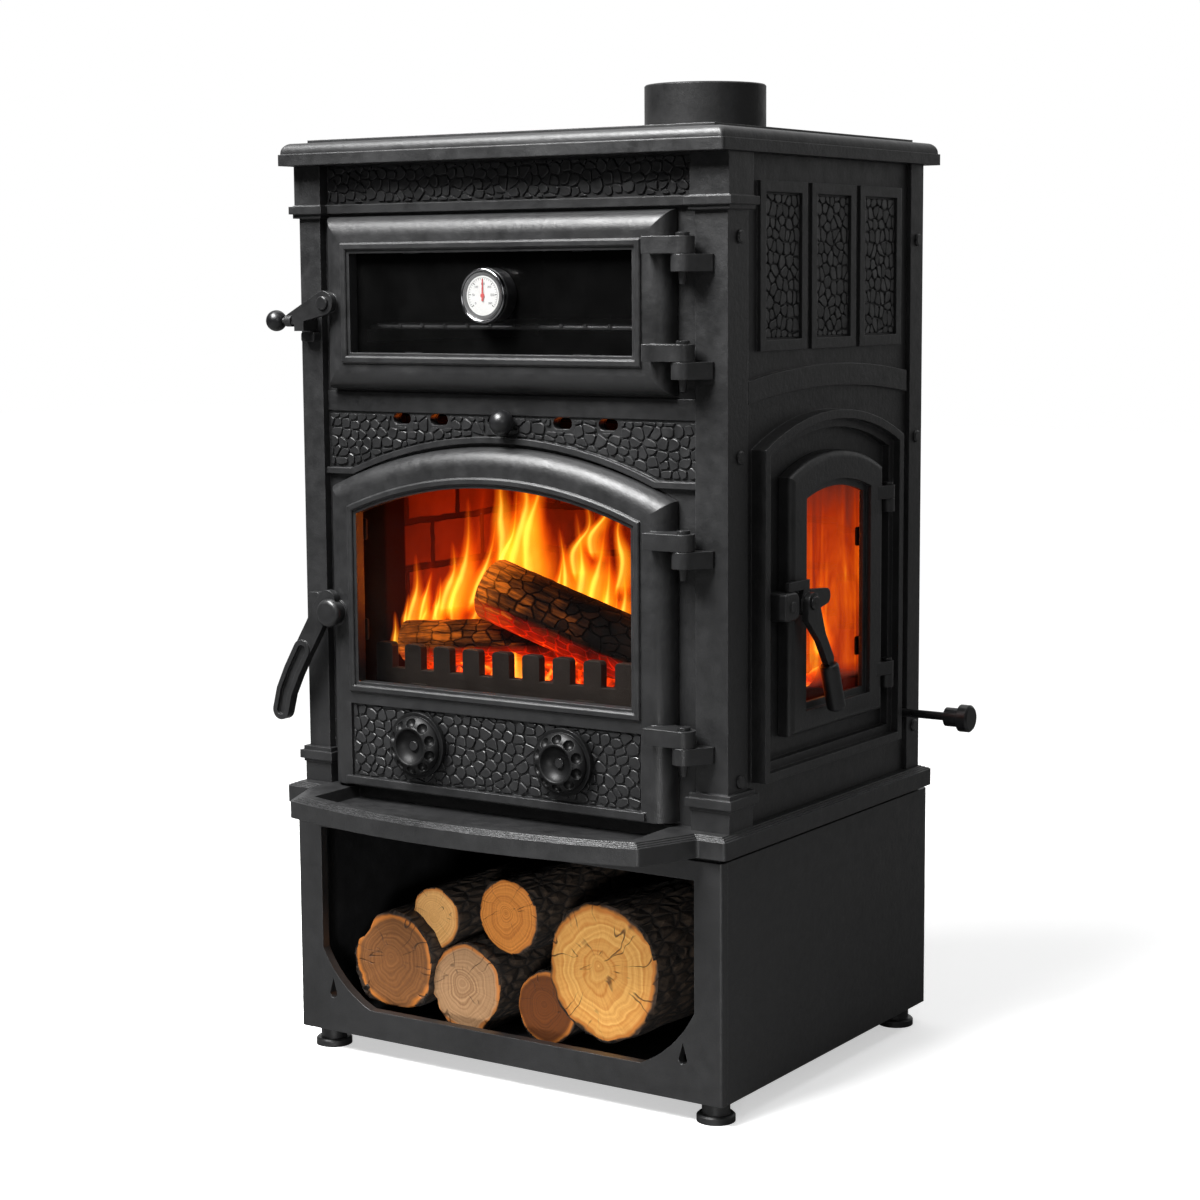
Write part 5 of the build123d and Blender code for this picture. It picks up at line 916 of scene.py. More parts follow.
def dial_marks():
    """Outlines of the dial's ticks, every fifth one tall, and of the thin line outside them."""
    marks = []
    for step in range(TICKS + 1):
        inner, outer, wide = TALL_TICK if step % 5 == 0 else SHORT_TICK
        along = dial_way(DIAL_START + step * DIAL_SWEEP / TICKS)
        across = Vector((along.y, -along.x))
        marks.append([along * r + across * w for r, w in
                      ((inner, -wide), (inner, wide), (outer, wide), (outer, -wide))])
    for a in range(DIAL_START, -DIAL_START, LINE_STEP):
        b = a + LINE_STEP
        marks.append([dial_way(t) * r for t, r in
                      ((a, LINE_INNER), (a, LINE_OUTER), (b, LINE_OUTER), (b, LINE_INNER))])
    return [mark[::-1] if area_of(mark) < 0 else mark for mark in marks]


def gauge_case():
    """The turned case, with its rolled rim in another finish."""
    centre = at(GAUGE_X, 0, GAUGE_Z)
    case = turned("gauge_drum", CASE_PROFILE, centre, (0, 1, 0), GAUGE_STEPS)
    fit(case, "black grips", "oven_door", "gauge_case", "gauge_body")
    case.data.materials.append(bpy.data.materials["gauge case"])
    front = at(0, RIM_FRONT, 0).y
    for face in case.data.polygons:
        out = Vector((face.center.x - centre.x, face.center.z - centre.z)).length / MM
        face.material_index = int(face.center.y < front and RIM_RADIUS < out)


def gauge_marks():
    """The dial's ticks and line, a little raised."""
    ticks = flat_shapes("gauge_marks", [[at(GAUGE_X + p.x, MARKS_Y, GAUGE_Z + p.y) for p in mark]
                                        for mark in dial_marks()])
    pick(ticks, lambda face: face.normal.y < 0)
    with editing(ticks):
        bpy.ops.mesh.inset(use_individual=True, thickness=INK_EDGE * MM, depth=INK_RISE * MM)
    fit(ticks, "dial ink", "oven_door", "dial")


def gauge_numbers():
    """Plain numbers round the dial, joined into one piece."""
    numbers = []
    for step in range(NUMBERS):
        place = dial_way(DIAL_START + step * DIAL_SWEEP / (NUMBERS - 1)) * NUMBERS_OUT
        text = primitive("gauge_number", bpy.ops.object.text_add, rotation=(math.pi / 2, 0, 0))
        text.data.body = str(step * NUMBER_APART)
        text.data.size = NUMBERS_SIZE * MM
        text.data.align_x, text.data.align_y = "CENTER", "CENTER"
        text.data.extrude = NUMBERS_RISE * MM
        text.location = at(GAUGE_X + place.x, NUMBERS_Y, GAUGE_Z + place.y)
        bpy.ops.object.convert(target="MESH")
        numbers.append(settle(bpy.context.object))
    for piece in numbers:
        piece.select_set(True)
    bpy.context.view_layer.objects.active = numbers[0]
    bpy.ops.object.join()
    digits = bpy.context.object
    digits.name = digits.data.name = "gauge_numbers"
    fit(settle(digits), "dial ink", "oven_door", "dial")


class STOVE_OT_gauge(bpy.types.Operator):
    """Turn the oven gauge's case and draw its dial"""

    bl_idname = "stove.gauge"
    bl_label = "Oven gauge"

    def execute(self, context):
        gauge_case()
        gauge_marks()
        gauge_numbers()
        return {"FINISHED"}


# The fire and the wood, which are scenery


# Sides and rings of a log, the share of its radius where bark begins, and the bark's grain
LOG_SIDES, LOG_RINGS, BARK_FROM, BARK_GRAIN = 56, 26, 0.86, 0.016
# Rings inset into a log's sawn ends: width and step of each, as shares of the radius
SAWN_RINGS = ((0.04, 0.02), (0.16, 0.0), (0.3, 0.0))


def log_body(name, radius, length, seed, lumps, bark):
    """A round log along its own Z axis: a ringed cylinder, made lumpy and then barky."""
    log = primitive(name, bpy.ops.mesh.primitive_cylinder_add, vertices=LOG_SIDES,
                    radius=radius * MM, depth=length * MM, end_fill_type="NGON")
    pick(log, lambda a, b: abs(a.z - b.z) > length * MM / 2, "EDGE")
    with editing(log, "EDGE"):
        bpy.ops.mesh.subdivide(number_cuts=LOG_RINGS)
    pick(log, lambda face: abs(face.normal.z) > 0.9)
    with editing(log):
        for wide, step in SAWN_RINGS:
            bpy.ops.mesh.inset(use_individual=True, thickness=radius * wide * MM, depth=radius * step * MM)
        bpy.ops.mesh.poke()
    draw = random.Random(seed)
    shifts = [(k, draw.uniform(0, 6.28), lumps * draw.uniform(0.4, 1.0) / k) for k in (2, 3, 4, 5, 7)]
    for vertex in log.data.vertices:
        angle = math.atan2(vertex.co.y, vertex.co.x)
        grow = 1 + sum(a * math.cos(k * angle + p + vertex.co.z * 3) for k, p, a in shifts)
        vertex.co.x *= grow
        vertex.co.y *= grow
    outside = [v.index for v in log.data.vertices if v.co.xy.length > radius * BARK_FROM * MM]
    log.vertex_groups.new(name="bark").add(outside, 1.0, "ADD")
    displaced(log, "CLOUDS", BARK_GRAIN, bark * MM, vertex_group="bark")
    return log


def aim(log, start, end):
    """Lays a log so that its axis runs from one place to another."""
    a, b = at(*start), at(*end)
    log.rotation_mode = "QUATERNION"
    log.location = (a + b) / 2
    log.rotation_quaternion = (b - a).to_track_quat("Z", "Y")


def end_grain(name, pale, dark, rim, radius, seed):
    """Sawn end of a log: year rings, fine rays, checks from the heart and a darker rim."""
    made = Finish(name)
    wobble = made.read("ShaderNodeTexNoise", {"Vector": made.place, "Scale": 14.0, "Detail": 3.0}, "Color")
    warp = made.vector("SUBTRACT", {0: wobble, 1: (0.5, 0.5, 0.5)})
    bent = made.vector("SCALE", {0: warp, "Scale": radius * 0.55 * MM})
    x, y, _ = made.split(made.vector("ADD", {0: made.place, 1: bent}))
    out = made.math("SQRT", x * x + y * y) / (radius * MM)
    turn = made.math("ARCTAN2", y, x)
    rings = made.math("SINE", out ** 0.8 * 78.0)
    bands = made.noise(2.4, 2, 0.5, made.joined(out * 9.0, seed * 1.7))
    rays = made.noise(1.0, 3, 0.6, made.joined(turn * 17.0, out * 1.6, seed * 1.0))
    checks = made.noise(1.0, 1, 0.4, made.joined(turn * 2.3, out * 0.9, seed * 3.0))
    crack = (abs(checks - 0.5).spread(0.016, 0.004) * made.noise(22).spread(0.47, 0.55)).held()
    wood = made.mix((rings * 0.08 + bands * 0.9 + rays * 0.55).spread(0.35, 1.05), dark, pale)
    wood = made.mix(made.noise(19, 4, 0.6).spread(0.55, 0.85, 0.0, 0.6), wood, dark)
    wood = made.mix(out.spread(0.86, 0.93, 0.0, 0.85), wood, rim)
    wood = made.mix(out.spread(0.95, 1.0), wood, (0.05, 0.03, 0.018))
    grain = made.bump(rings + rays * 2.0, 0.0004, 0.25)
    made.feed(Base_Color=made.mix(crack * 0.8, wood, (0.06, 0.03, 0.015)),
              Roughness=rays.spread(0.3, 0.7, 0.62, 0.8),
              Normal=made.bump(1.0 - crack, 0.002, 0.7, grain))
    return made.material


def bark_skin(name):
    """Scaly bark: deep splits along the log and lighter flakes."""
    made = Finish(name)
    along = made.mapped((1, 1, 0.42))
    plates = made.cells(85.0, along)
    flakes = made.noise(120, 5, 0.7, along)
    tone = (plates.spread(0.0, 0.16) * flakes.spread(0.3, 0.75)).held()
    made.feed(Base_Color=made.mix(tone, (0.006, 0.004, 0.003), (0.085, 0.055, 0.034)),
              Roughness=flakes.spread(0.3, 0.7, 0.75, 0.95),
              Normal=made.bump(plates, 0.012, 0.8, made.bump(flakes, 0.003, 0.8)))
    return made.material


# Logs in the store: across, up, radius, lumps, how far in the sawn end lies, how far the far end
# leans across, and the pale and dark tone of the end
FIREWOOD = (
    ("a", -190, 111, 61, 0.16, 45, 20, (0.28, 0.11, 0.030), (0.11, 0.038, 0.009)),
    ("b", -137, 169, 37, 0.06, 60, 25, (1.0, 0.60, 0.22), (0.62, 0.24, 0.05)),
    ("c", -31, 184, 45, 0.06, 62, 30, (0.88, 0.34, 0.06), (0.42, 0.11, 0.012)),
    ("d", -88, 92, 54, 0.17, 52, 10, (0.56, 0.33, 0.165), (0.25, 0.12, 0.05)),
    ("e", 26, 83, 43, 0.08, 58, 15, (0.22, 0.06, 0.008), (0.08, 0.02, 0.003)),
    ("f", 112, 141, 81, 0.05, 48, 32, (1.0, 0.58, 0.16), (0.66, 0.22, 0.03)),
)
WOOD_RIM = (0.62, 0.20, 0.03)
# Bark's depth and the sawn face's size as shares of the radius, how much the far end rises, and
# what the logs' random draws start from
STORE_BARK, SAWN_TO, FAR_END_RISE, STORE_DRAWS = 0.13, 0.985, 4, 60


class STOVE_OT_firewood(bpy.types.Operator):
    """Stack the logs in the store, as scenery"""

    bl_idname = "stove.firewood"
    bl_label = "Logs in the store"

    def execute(self, context):
        length = sizes().log_length / MM
        for index, (tag, x, z, radius, lumps, inset, lean, pale, dark) in enumerate(FIREWOOD):
            log = log_body("store_log_" + tag, radius, length, STORE_DRAWS + index, lumps,
                           radius * STORE_BARK)
            aim(log, (x, inset, z), (x + lean, inset + length, z + FAR_END_RISE))
            log.data.materials.append(bark_skin("bark " + tag))
            sawn = end_grain("end grain " + tag, pale, dark, WOOD_RIM, radius, index + 1)
            log.data.materials.append(sawn)
            for face in log.data.polygons:
                if abs(face.normal.z) > 0.7 and face.center.xy.length < radius * SAWN_TO * MM:
                    face.material_index = 1
        return {"FINISHED"}


def charred(name, radius, length, lit):
    """Burning log: charred into irregular blocks, with painted orange firelight, in its colour and its glow,
    at the end that lies in the flames, and red hot in the cracks of its underside."""
    made = Finish(name)
    x, y, z = made.split(made.place)
    wobble = made.noise(30, 3, 0.6)
    girth = made.math("ARCTAN2", y, x) * (radius * MM) + wobble * 0.012
    flat = made.joined(z * 0.62 + wobble * 0.012, girth)
    blocks = {"Randomness": 0.8, "Vector": flat, "Scale": 78.0}
    gaps = made.read("ShaderNodeTexVoronoi", blocks, "Distance",
                     feature="DISTANCE_TO_EDGE", voronoi_dimensions="2D")
    tones = made.read("ShaderNodeTexVoronoi", blocks, "Color", voronoi_dimensions="2D")
    tint = made.read("ShaderNodeSeparateColor", {0: tones})
    fibres = made.noise(1.0, 4, 0.65, made.mapped((170, 170, 22)))
    # The share of the length that lies in the flames: there the colour and the glow are painted firelight.
    end = (1.0 - z.spread(-length * MM * 0.5, -length * MM * (0.5 - lit))).held()
    wide = made.noise(40).spread(0.35, 0.65, 0.05, 0.13)
    cracks = (1.0 - gaps / wide).held() * end.spread(0.5, 1.0, 1.0, 0.45)
    shade = tint.spread(0.1, 0.9, 0.3, 0.85) * fibres.spread(0.32, 0.72, 0.3, 1.25)
    shade = shade * made.noise(15, 3, 0.6).spread(0.38, 0.66, 0.15, 1.0)
    # Towards the end in the flames the colour runs up to orange: painted firelight.
    wood = made.ramp((shade + end * fibres * 1.05).held(),
                     (0.08, (0.004, 0.0025, 0.002)), (0.35, (0.035, 0.010, 0.003)),
                     (0.65, (0.18, 0.042, 0.006)), (1.0, (0.60, 0.13, 0.010)))
    up = made.split(made.read("ShaderNodeNewGeometry", output="Normal"))[2]
    hot = (up.spread(-0.15, -0.85) * made.noise(26, 3).spread(0.35, 0.65, 0.15, 1.0)).held()
    glow = made.ramp(hot * cracks.spread(0.0, 1.0, 0.35, 1.0), (0.0, (0, 0, 0)),
                     (0.4, (0.6, 0.010, 0.0)), (0.75, (1.0, 0.09, 0.002)), (1.0, (1.0, 0.30, 0.02)))
    # The end in the flames glows in its own wood colour: painted firelight that stands in for the flames'
    # light.
    painted_firelight_colour = made.mix(cracks, wood, (0, 0, 0))
    painted_firelight = made.mix((end * end).spread(0.0, 1.0, 0.03, 0.9), (0, 0, 0), painted_firelight_colour)
    made.feed(Base_Color=made.mix(cracks, wood, (0.002, 0.0015, 0.001)),
              Roughness=made.noise(210, 4, 0.7).spread(0.3, 0.7, 0.65, 0.9),
              Normal=made.bump(1.0 - cracks, 0.006, 1.0, made.bump(fibres, 0.0015, 0.7)),
              Emission_Color=made.vector("ADD", {0: glow, 1: painted_firelight}))
    return made.set(Emission_Strength=1.8, Specular_IOR_Level=0.1)


def embers(name):
    """A bed of coals, red to yellow in the cracks between them."""
    made = Finish(name)
    cells = made.cells(48.0)
    patch = made.noise(24, 4, 0.65)
    hot = (cells.spread(0.2, 0.0, 0.25, 1.0) * patch.spread(0.38, 0.62)).held()
    made.feed(Base_Color=made.mix(patch, (0.01, 0.006, 0.004), (0.12, 0.05, 0.03)),
              Roughness=patch.spread(0.3, 0.7, 0.8, 0.95),
              Normal=made.bump(cells, 0.01, 0.6),
              Emission_Color=made.ramp(hot, (0.0, (0.01, 0, 0)), (0.35, (0.7, 0.03, 0.001)),
                                       (1.0, (1.0, 0.34, 0.03))))
    return made.set(Emission_Strength=2.6)


def glowing(made, colour, strength):
    """Lets a sheet add its own light to what is seen through it."""
    glow = made.read("ShaderNodeEmission", {"Color": colour, "Strength": strength})
    clear = made.read("ShaderNodeBsdfTransparent")
    both = made.read("ShaderNodeAddShader", {0: glow, 1: clear})
    output = next(n for n in made.tree.nodes if n.type == "OUTPUT_MATERIAL")
    made.plug(both, output.inputs["Surface"])
    return made.material


def flame_finish(name, power, yellow):
    """A tongue of flame: red at its rim, yellow along its heart, with a bright fold to one side."""
    made = Finish(name)
    across, up = made.sheet_map()
    wisp = made.noise(1.0, 2, 0.5, made.mapped((26, 26, 11)), 0.4)
    side = across * 2.0 - 1.0 + (wisp - 0.5) * 0.6
    body = (1.0 - abs(side) ** 1.7).held()
    fold = abs(side - up.spread(0.0, 1.0, -0.45, 0.25)).spread(0.26, 0.0, 0.0, 0.45)
    ends = up.spread(0.45, 1.0, 1.0, 0.12) * up.spread(0.0, 0.16)
    heat = (body * ends).held() * (fold + 0.85)
    colour = made.ramp(heat * yellow, (0.0, (0.9, 0.02, 0.0)), (0.35, (1.0, 0.13, 0.001)),
                       (0.7, (1.0, 0.30, 0.008)), (1.0, (1.0, 0.52, 0.05)))
    return glowing(made, colour, heat ** 1.4 * power)


def haze_finish(name, power, top, thin, streaks):
    """Orange glow round the flames, dimmer towards the top of its sheet, with upright streaks."""
    made = Finish(name)
    across, up = made.sheet_map()
    edge = abs(across - 0.5).spread(0.5, 0.42) * up.spread(0.0, 0.08)
    level = (edge * up.spread(0.45, 1.0, 1.0, top)).held()
    cloud = made.noise(1.0, 4, 0.6, made.mapped((16, 16, 7)), 0.8)
    line = made.noise(1.0, 2, 0.5, made.mapped((55, 55, 2.5)), 0.2)
    thick = (level * cloud.spread(0.34, 0.66, 0.35, 1.0)).held()
    thick = thick + line.spread(0.55, 0.75) * level * streaks
    colour = made.ramp(thick, (0.0, thin), (0.4, (1.0, 0.07, 0.006)), (0.8, (1.0, 0.13, 0.004)),
                       (1.0, (1.0, 0.26, 0.012)))
    return glowing(made, colour, thick * power)


def light_sheet(name, points, faces, corners, finish):
    """A sheet of flame with its own map: corners holds each point's place on it. It shows to the
    eye and in the glass only, because the fire's lamps light the bricks."""
    sheet = drawn(name, points, faces)
    layer = sheet.data.uv_layers.new(name="UVMap")
    for loop in sheet.data.loops:
        layer.data[loop.index].uv = corners[loop.vertex_index]
    smooth(sheet, 80).data.materials.append(finish)
    sheet.visible_shadow = False
    sheet.visible_diffuse = False


# Rows and columns of a tongue's strip, and the way it faces, in radians
TONGUE_ROWS, TONGUE_COLS, TONGUE_FACING = 26, 8, 0.55


def tongue(points, faces, corners, y, line, wide):
    """Adds one tongue of flame: a strip that follows a line of (across, up) places and tapers."""
    start, spans, row = len(points), len(line) - 1, TONGUE_COLS + 1
    across = Vector((math.cos(TONGUE_FACING), math.sin(TONGUE_FACING), 0))
    for i in range(TONGUE_ROWS + 1):
        up = i / TONGUE_ROWS
        k = min(int(up * spans), spans - 1)
        t = up * spans - k
        a, b, c, d = line[max(k - 1, 0)], line[k], line[k + 1], line[min(k + 2, spans)]
        x, z = (0.5 * (2 * b[n] + (c[n] - a[n]) * t
                       + (2 * a[n] - 5 * b[n] + 4 * c[n] - d[n]) * t * t
                       + (3 * b[n] - a[n] - 3 * c[n] + d[n]) * t ** 3) for n in (0, 1))
        half = wide * (0.72 + 0.38 * math.sin(math.pi * min(1.0, up * 1.6))) * max(0.0, 1 - up) ** 0.6 + 0.5
        for j in range(row):
            side = 2 * j / TONGUE_COLS - 1
            points.append(at(x, y - (1 - side * side) * half * 0.4, z) + across * (half * side * MM))
            corners.append((j / TONGUE_COLS, up))
    for i in range(TONGUE_ROWS):
        for j in range(TONGUE_COLS):
            a = start + i * row + j
            faces.append((a, a + 1, a + row + 1, a + row))


# Each tongue of flame: how far back it stands, half its width, and its line of (across, up) places
TONGUES = (
    (125, 9, ((-238, 474), (-240, 500), (-243, 528))),
    (150, 9, ((-238, 500), (-243, 520), (-240, 548))),
    (160, 15, ((-240, 500), (-234, 530), (-233, 560), (-236, 596))),
    (164, 9, ((-228, 505), (-222, 545), (-214, 576))),
    (176, 12, ((-214, 505), (-209, 536), (-210, 568))),
    (184, 17, ((-204, 512), (-196, 551), (-192, 580), (-197, 612))),
    (188, 19, ((-196, 510), (-185, 546), (-177, 582), (-174, 622), (-175, 668))),
    (195, 15, ((-172, 520), (-159, 562), (-146, 600), (-138, 640))),
    (208, 22, ((-125, 560), (-127, 607), (-133, 645), (-139, 682), (-142, 722))),
    (212, 17, ((-142, 540), (-134, 590), (-120, 632), (-118, 690))),
    (215, 27, ((-112, 540), (-108, 603), (-100, 645), (-107, 690), (-114, 745))),
    (222, 24, ((-84, 530), (-95, 590), (-98, 640), (-86, 690), (-80, 735))),
    (222, 15, ((-60, 520), (-60, 565), (-53, 612))),
    (218, 15, ((-46, 520), (-44, 560), (-52, 600), (-60, 632))),
    (225, 20, ((-26, 515), (-23, 565), (-29, 606), (-40, 652))),
    (228, 21, ((-12, 505), (-8, 560), (-3, 600), (2, 640))),
    (230, 17, ((8, 500), (5, 550), (6, 610))),
    (230, 17, ((30, 490), (31, 541), (25, 585))),
    (236, 15, ((-34, 560), (-44, 600), (-26, 636), (-38, 676))),
    (238, 14, ((-10, 590), (-20, 622), (-2, 655), (-12, 690))),
    (240, 14, ((14, 545), (24, 590), (12, 632), (22, 662))),
    (150, 20, ((-64, 452), (-74, 478), (-84, 508))),
    (128, 13, ((-30, 448), (-38, 470), (-50, 488))),
    (385, 13, ((216, 470), (210, 520), (216, 580))),
    (398, 11, ((206, 470), (212, 500), (205, 540))),
    (245, 24, ((60, 480), (66, 550), (58, 610), (64, 672))),
    (250, 22, ((96, 470), (90, 540), (101, 600), (94, 640))),
    (240, 24, ((128, 465), (136, 530), (127, 590), (136, 660))),
    (250, 20, ((165, 465), (158, 525), (168, 580))),
    (255, 16, ((195, 465), (200, 510), (194, 550))),
)

# Wide soft glows behind the tongues, in the same terms
GLOWS = (
    (200, 42, ((-170, 500), (-165, 570), (-158, 640), (-150, 720))),
    (222, 55, ((-105, 500), (-100, 590), (-104, 680), (-108, 765))),
    (238, 52, ((-25, 480), (-18, 530), (-22, 580), (-30, 640))),
    (262, 60, ((100, 460), (108, 530), (98, 590), (104, 650))),
    (172, 26, ((-226, 480), (-222, 530), (-222, 590))),
)
# The flame height that these tables are drawn for, and how much wider the tongues are made
DRAWN_HEIGHT, FULLER = 330.0, 1.3

# Burning logs: radius, both ends of the axis, seed, and the share of the length that is painted as lit by
# the flames
BURNING = (
    ("upper", 38, (-104, 140, 562), (186, 152, 470), 81, 0.30),
    ("lower", 27, (-238, 146, 488), (120, 200, 512), 82, 0.45),
    ("rear", 30, (60, 250, 470), (-140, 330, 490), 83, 0.3),
)
BURNING_LUMPS, BURNING_BARK = 0.06, 2.4

# Standing sheets of haze: their two ends, foot, power, share left at the top, thin colour, streaks
HAZE = (
    ("rear", (-235, 330), (222, 405), 440, 0.07, 0.3, (0.8, 0.02, 0.001), 0.0),
    ("side", (286, 148), (286, 356), 462, 1.9, 0.09, (0.8, 0.14, 0.08), 0.5),
)
HAZE_TOP = 720

# The ember bed: its size in metres, its place, its grid, and the grain and height of its coals
BED_SIZE, BED_PLACE, BED_GRID, BED_LUMPS = (0.46, 0.25, 1), (-13, 245, 445), (110, 60), (0.03, 0.06)

# Lamps inside the fire: place, watts and radius
FIRE_LAMPS = (("low", (-120, 215, 540), 0.8, 0.05), ("high", (-60, 250, 640), 0.42, 0.06),
              ("right", (140, 290, 540), 0.5, 0.06))
FIRE_COLOUR = (1.0, 0.16, 0.012)


def small_wisps():
    """Twenty short tongues along the logs, in the terms of TONGUES."""
    draw = random.Random(7)
    wisps = []
    for index in range(20):
        x = -225 + 20.0 * index + draw.uniform(-7, 7)
        foot = 505 - 0.16 * max(0, x + 60)
        tall = draw.uniform(28, 80)
        sway = draw.uniform(-7, 7)
        wisps.append((min(262, 178 + 0.2 * (x + 222) + draw.uniform(-8, 8)), draw.uniform(8, 14),
                      ((x, foot), (x + sway, foot + tall / 2), (x + draw.uniform(-6, 6), foot + tall))))
    return wisps


def burning_logs():
    """The three logs that burn, each with painted firelight where it lies in the flames."""
    for tag, radius, start, end, seed, lit in BURNING:
        length = (at(*end) - at(*start)).length / MM
        log = log_body("burning_log_" + tag, radius, length, seed, BURNING_LUMPS, BURNING_BARK)
        aim(log, start, end)
        log.data.materials.append(charred("charred wood " + tag, radius, length, lit))


def ember_bed():
    """A bed of coals on the grate."""
    bed = primitive("ember_bed", bpy.ops.mesh.primitive_grid_add, x_subdivisions=BED_GRID[0],
                    y_subdivisions=BED_GRID[1], size=1.0)
    bed.scale = BED_SIZE
    bed.location = at(*BED_PLACE)
    displaced(settle(bed), "VORONOI", *BED_LUMPS)
    bed.data.materials.append(embers("embers"))


def flames():
    """Glows, tongues and wisps, each kind as one sheet, as tall as the panel's size says."""
    share = sizes().flame_height / (DRAWN_HEIGHT * MM)
    for tag, lines, power, yellow in (("glows", GLOWS, 0.36, 0.13), ("tongues", TONGUES, 1.35, 0.92),
                                      ("wisps", small_wisps(), 0.9, 0.8)):
        points, faces, corners = [], [], []
        for y, wide, line in lines:
            base = line[0][1]
            line = [(x, base + (z - base) * share) for x, z in line]
            tongue(points, faces, corners, y, line, wide * FULLER)
        light_sheet("flame_" + tag, points, faces, corners, flame_finish("flame " + tag, power, yellow))


def fire_haze():
    """Two standing sheets of haze, one behind the flames and one inside the side glass."""
    for tag, start, end, low, *look in HAZE:
        points = [at(*start, low), at(*end, low), at(*end, HAZE_TOP), at(*start, HAZE_TOP)]
        light_sheet("fire_haze_" + tag, points, [(0, 1, 2, 3)], [(0, 0), (1, 0), (1, 1), (0, 1)],
                    haze_finish("fire haze " + tag, *look))


def fire_lamps():
    """Small lamps that light the bricks and logs as the flames would."""
    for tag, place, power, radius in FIRE_LAMPS:
        lamp = bpy.data.lights.new("fire glow " + tag, "POINT")
        lamp.energy = power
        lamp.color = FIRE_COLOUR
        lamp.shadow_soft_size = radius
        placed("fire_glow_" + tag, lamp).location = at(*place)


class STOVE_OT_fire(bpy.types.Operator):
    """Light the fire: burning logs, embers and flames, as scenery"""

    bl_idname = "stove.fire"
    bl_label = "Fire"

    def execute(self, context):
        burning_logs()
        ember_bed()
        flames()
        fire_haze()
        fire_lamps()
        return {"FINISHED"}


# Stage

# Soft lights: place and what they face in metres, size, watts, and the spread of their grid
SOFT_LIGHTS = (
    ("key light", (-0.6, -2.0, 3.2), (0, 0, 0.6), (1.5, 1.5), 287, 180),
    ("high left light", (-1.25, -1.1, 3.2), (0, 0, 0.7), (1.0, 1.0), 72, 180),
    ("top light", (0.0, 0.3, 3.4), (0, 0, 0.4), (3.4, 3.4), 46, 180),
    ("right light", (2.4, -2.6, 1.8), (0, 0, 0.7), (1.4, 1.4), 12, 180),
    ("store light", (1.0, -2.2, 0.26), (-0.06, -0.14, 0.115), (0.35, 0.25), 0.52, 21),
)
# Bright sides of the studio: where each lies, how wide it spreads and how bright it is
BRIGHT_SIDES = (((-0.55, 0.83, 0.16), 0.5, 0.97, 0.72), ((0.75, 0.65, 0.10), 0.3, 0.95, 0.27))
STUDIO_DIM = 0.01
# The floor, and from where to where it fades into the background, in metres
FLOOR_SIZE, FLOOR_FADE = 24.0, (1.1, 3.2)
# The camera that the photograph was solved for: metres, degrees of yaw, pitch and roll, and lens
CAMERA_PLACE, CAMERA_TURN, CAMERA_LENS = (1.655, -2.5325, 0.933), (33.48, 7.19, -0.38), 76.4


def pale_floor():
    """A white floor that runs into the white background. Reflections see it dark, as if black
    flags stood round the stove."""
    floor = primitive("floor", bpy.ops.mesh.primitive_plane_add, size=FLOOR_SIZE)
    paint = Finish("floor white")
    tone = paint.noise(1.3, 3)
    colour = tuple(finishes().floor)
    seen = paint.read("ShaderNodeLightPath", output="Is Camera Ray")
    far = paint.vector("LENGTH", {0: paint.place}, "Value").spread(*FLOOR_FADE) * seen
    near = paint.mix(tone, shaded(colour, 0.99), colour)
    near = paint.mix(seen, (0.15, 0.15, 0.15), near)
    lifted = paint.mix(seen, (0, 0, 0), (0.5, 0.5, 0.5))
    paint.feed(Base_Color=paint.mix(far, near, (0, 0, 0)),
               Emission_Color=paint.mix(far, lifted, (1, 1, 1)),
               Roughness=tone.spread(0.3, 0.7, 0.7, 0.8))
    floor.data.materials.append(paint.set(Specular_IOR_Level=0.1, Emission_Strength=1.0))


def studio():
    """A dim studio with its bright sides, white to the camera."""
    world = bpy.data.worlds.new("studio")
    bpy.context.scene.world = world
    world.use_nodes = True
    sky = Nodes(world.node_tree)
    sky.tree.nodes.clear()
    where = sky.read("ShaderNodeTexCoord", output="Generated")
    total = STUDIO_DIM
    for toward, low, high, power in BRIGHT_SIDES:
        lean = sky.vector("DOT_PRODUCT", {0: where, 1: Vector(toward).normalized()}, "Value")
        level = lean.spread(low, high, 0.0, power, interpolation_type="SMOOTHSTEP")
        total = sky.math("ADD", total, level)
    seen = sky.read("ShaderNodeLightPath", output="Is Camera Ray")
    strength = sky.read("ShaderNodeMix", {0: seen, 2: total, 3: 1.0})
    back = sky.read("ShaderNodeBackground", {"Color": (1, 1, 1), "Strength": strength})
    sky.node("ShaderNodeOutputWorld", {"Surface": back})


def soft_box(name, place, aim_at, size, power, spread):
    """A soft light that faces a point of the stove, with a grid on it where its spread is narrow."""
    lamp = bpy.data.lights.new(name, "AREA")
    lamp.shape = "RECTANGLE"
    lamp.size, lamp.size_y = size
    lamp.energy = power
    lamp.spread = math.radians(spread)
    made = placed(name, lamp)
    made.location = place
    made.rotation_mode = "QUATERNION"
    made.rotation_quaternion = (Vector(aim_at) - Vector(place)).to_track_quat("-Z", "Y")


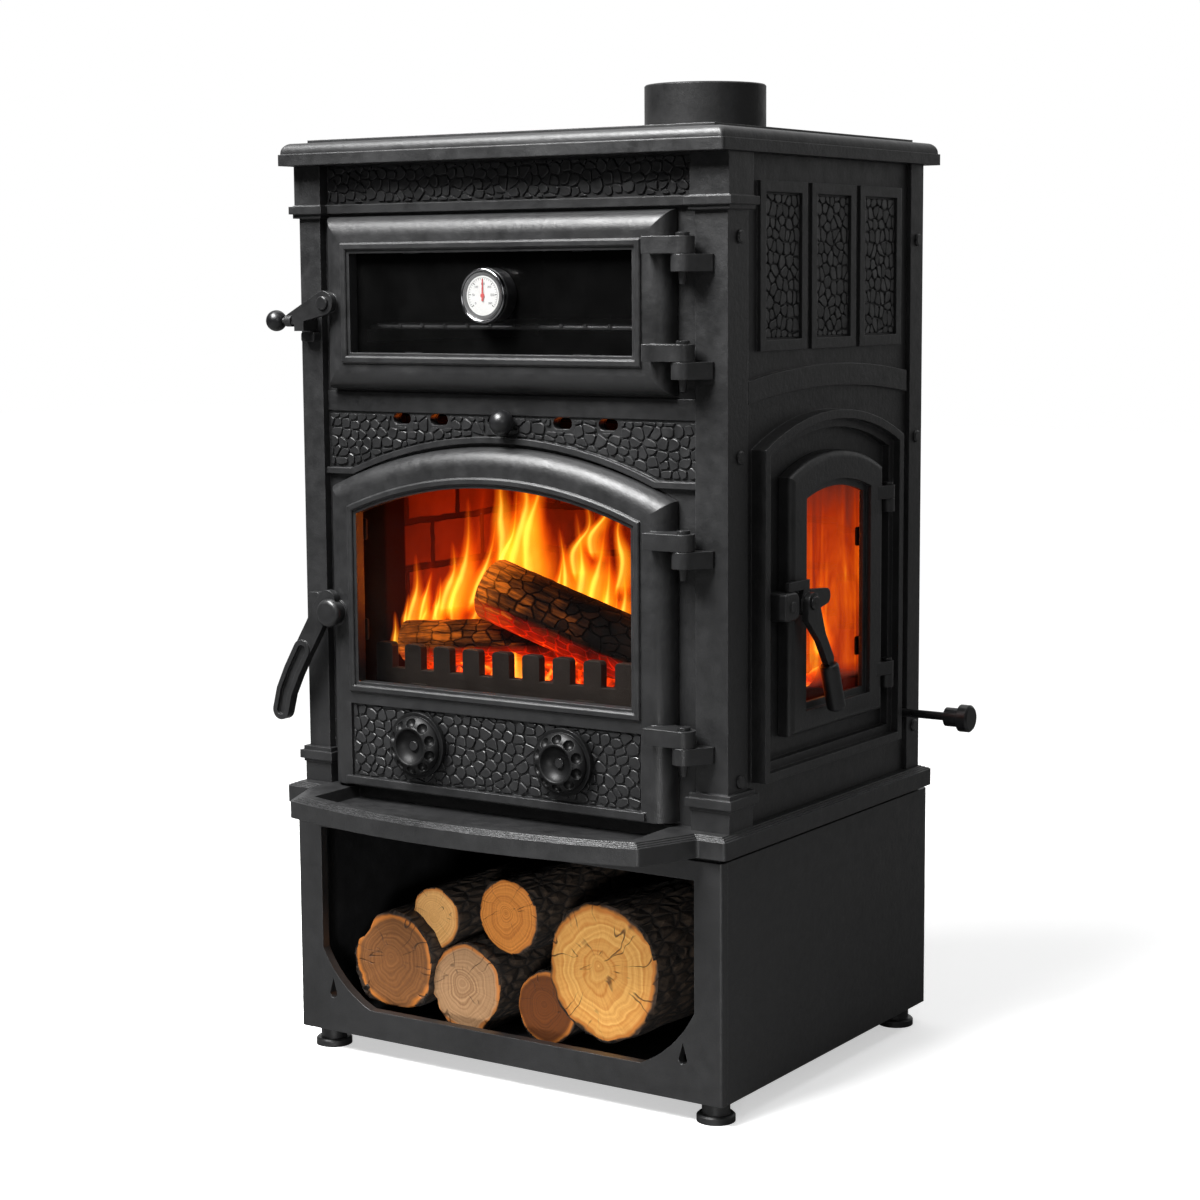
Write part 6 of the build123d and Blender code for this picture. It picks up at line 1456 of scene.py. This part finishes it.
def place_camera():
    """Stands the camera where the photograph was taken from."""
    camera = bpy.data.cameras.new("camera")
    camera.sensor_width = 36.0
    camera.lens = CAMERA_LENS
    view = placed("camera", camera)
    yaw, pitch, roll = (math.radians(a) for a in CAMERA_TURN)
    ahead = Vector((-math.sin(yaw) * math.cos(pitch), math.cos(yaw) * math.cos(pitch), -math.sin(pitch)))
    right = Vector((math.cos(yaw), math.sin(yaw), 0))
    up = right.cross(ahead)
    across = right * math.cos(roll) + up * math.sin(roll)
    upward = right * -math.sin(roll) + up * math.cos(roll)
    turn = Matrix((across, upward, -ahead)).transposed()
    view.matrix_world = Matrix.Translation(CAMERA_PLACE) @ turn.to_4x4()
    bpy.context.scene.camera = view
    look = bpy.context.scene.view_settings
    look.view_transform = "Standard"
    look.look = "None"


class STOVE_OT_stage(bpy.types.Operator):
    """Set the pale floor, the soft light and the camera"""

    bl_idname = "stove.stage"
    bl_label = "Floor, light and camera"

    def execute(self, context):
        pale_floor()
        studio()
        for light in SOFT_LIGHTS:
            soft_box(*light)
        place_camera()
        return {"FINISHED"}


# The add-on


OPERATORS = (
    STOVE_OT_castings, STOVE_OT_frieze_cobbles, STOVE_OT_door_cobbles, STOVE_OT_side_cobbles,
    STOVE_OT_frieze_strip, STOVE_OT_gauge, STOVE_OT_fire, STOVE_OT_firewood, STOVE_OT_stage,
)


class STOVE_PT_panel(bpy.types.Panel):
    """The stove's sizes, finishes and pieces"""

    bl_idname = "STOVE_PT_panel"
    bl_label = "Cast iron oven stove"
    bl_space_type = "VIEW_3D"
    bl_region_type = "UI"
    bl_category = "Stove"

    def draw(self, context):
        for owner in (context.scene.stove_sizes, context.scene.stove_finishes):
            box = self.layout.box()
            for name in owner.__annotations__:
                box.prop(owner, name)
        for operator in OPERATORS:
            self.layout.operator(operator.bl_idname)


CLASSES = (StoveSizes, StoveFinishes, *OPERATORS, STOVE_PT_panel)


def register():
    for made in CLASSES:
        bpy.utils.register_class(made)
    bpy.types.Scene.stove_sizes = bpy.props.PointerProperty(type=StoveSizes)
    bpy.types.Scene.stove_finishes = bpy.props.PointerProperty(type=StoveFinishes)


def unregister():
    del bpy.types.Scene.stove_sizes
    del bpy.types.Scene.stove_finishes
    for made in reversed(CLASSES):
        bpy.utils.unregister_class(made)


def main():
    register()
    bpy.ops.stove.castings()
    bpy.ops.stove.frieze_cobbles()
    bpy.ops.stove.door_cobbles()
    bpy.ops.stove.side_cobbles()
    bpy.ops.stove.frieze_strip()
    bpy.ops.stove.gauge()
    bpy.ops.stove.fire()
    bpy.ops.stove.firewood()
    bpy.ops.stove.stage()


if __name__ == "__main__":
    main()
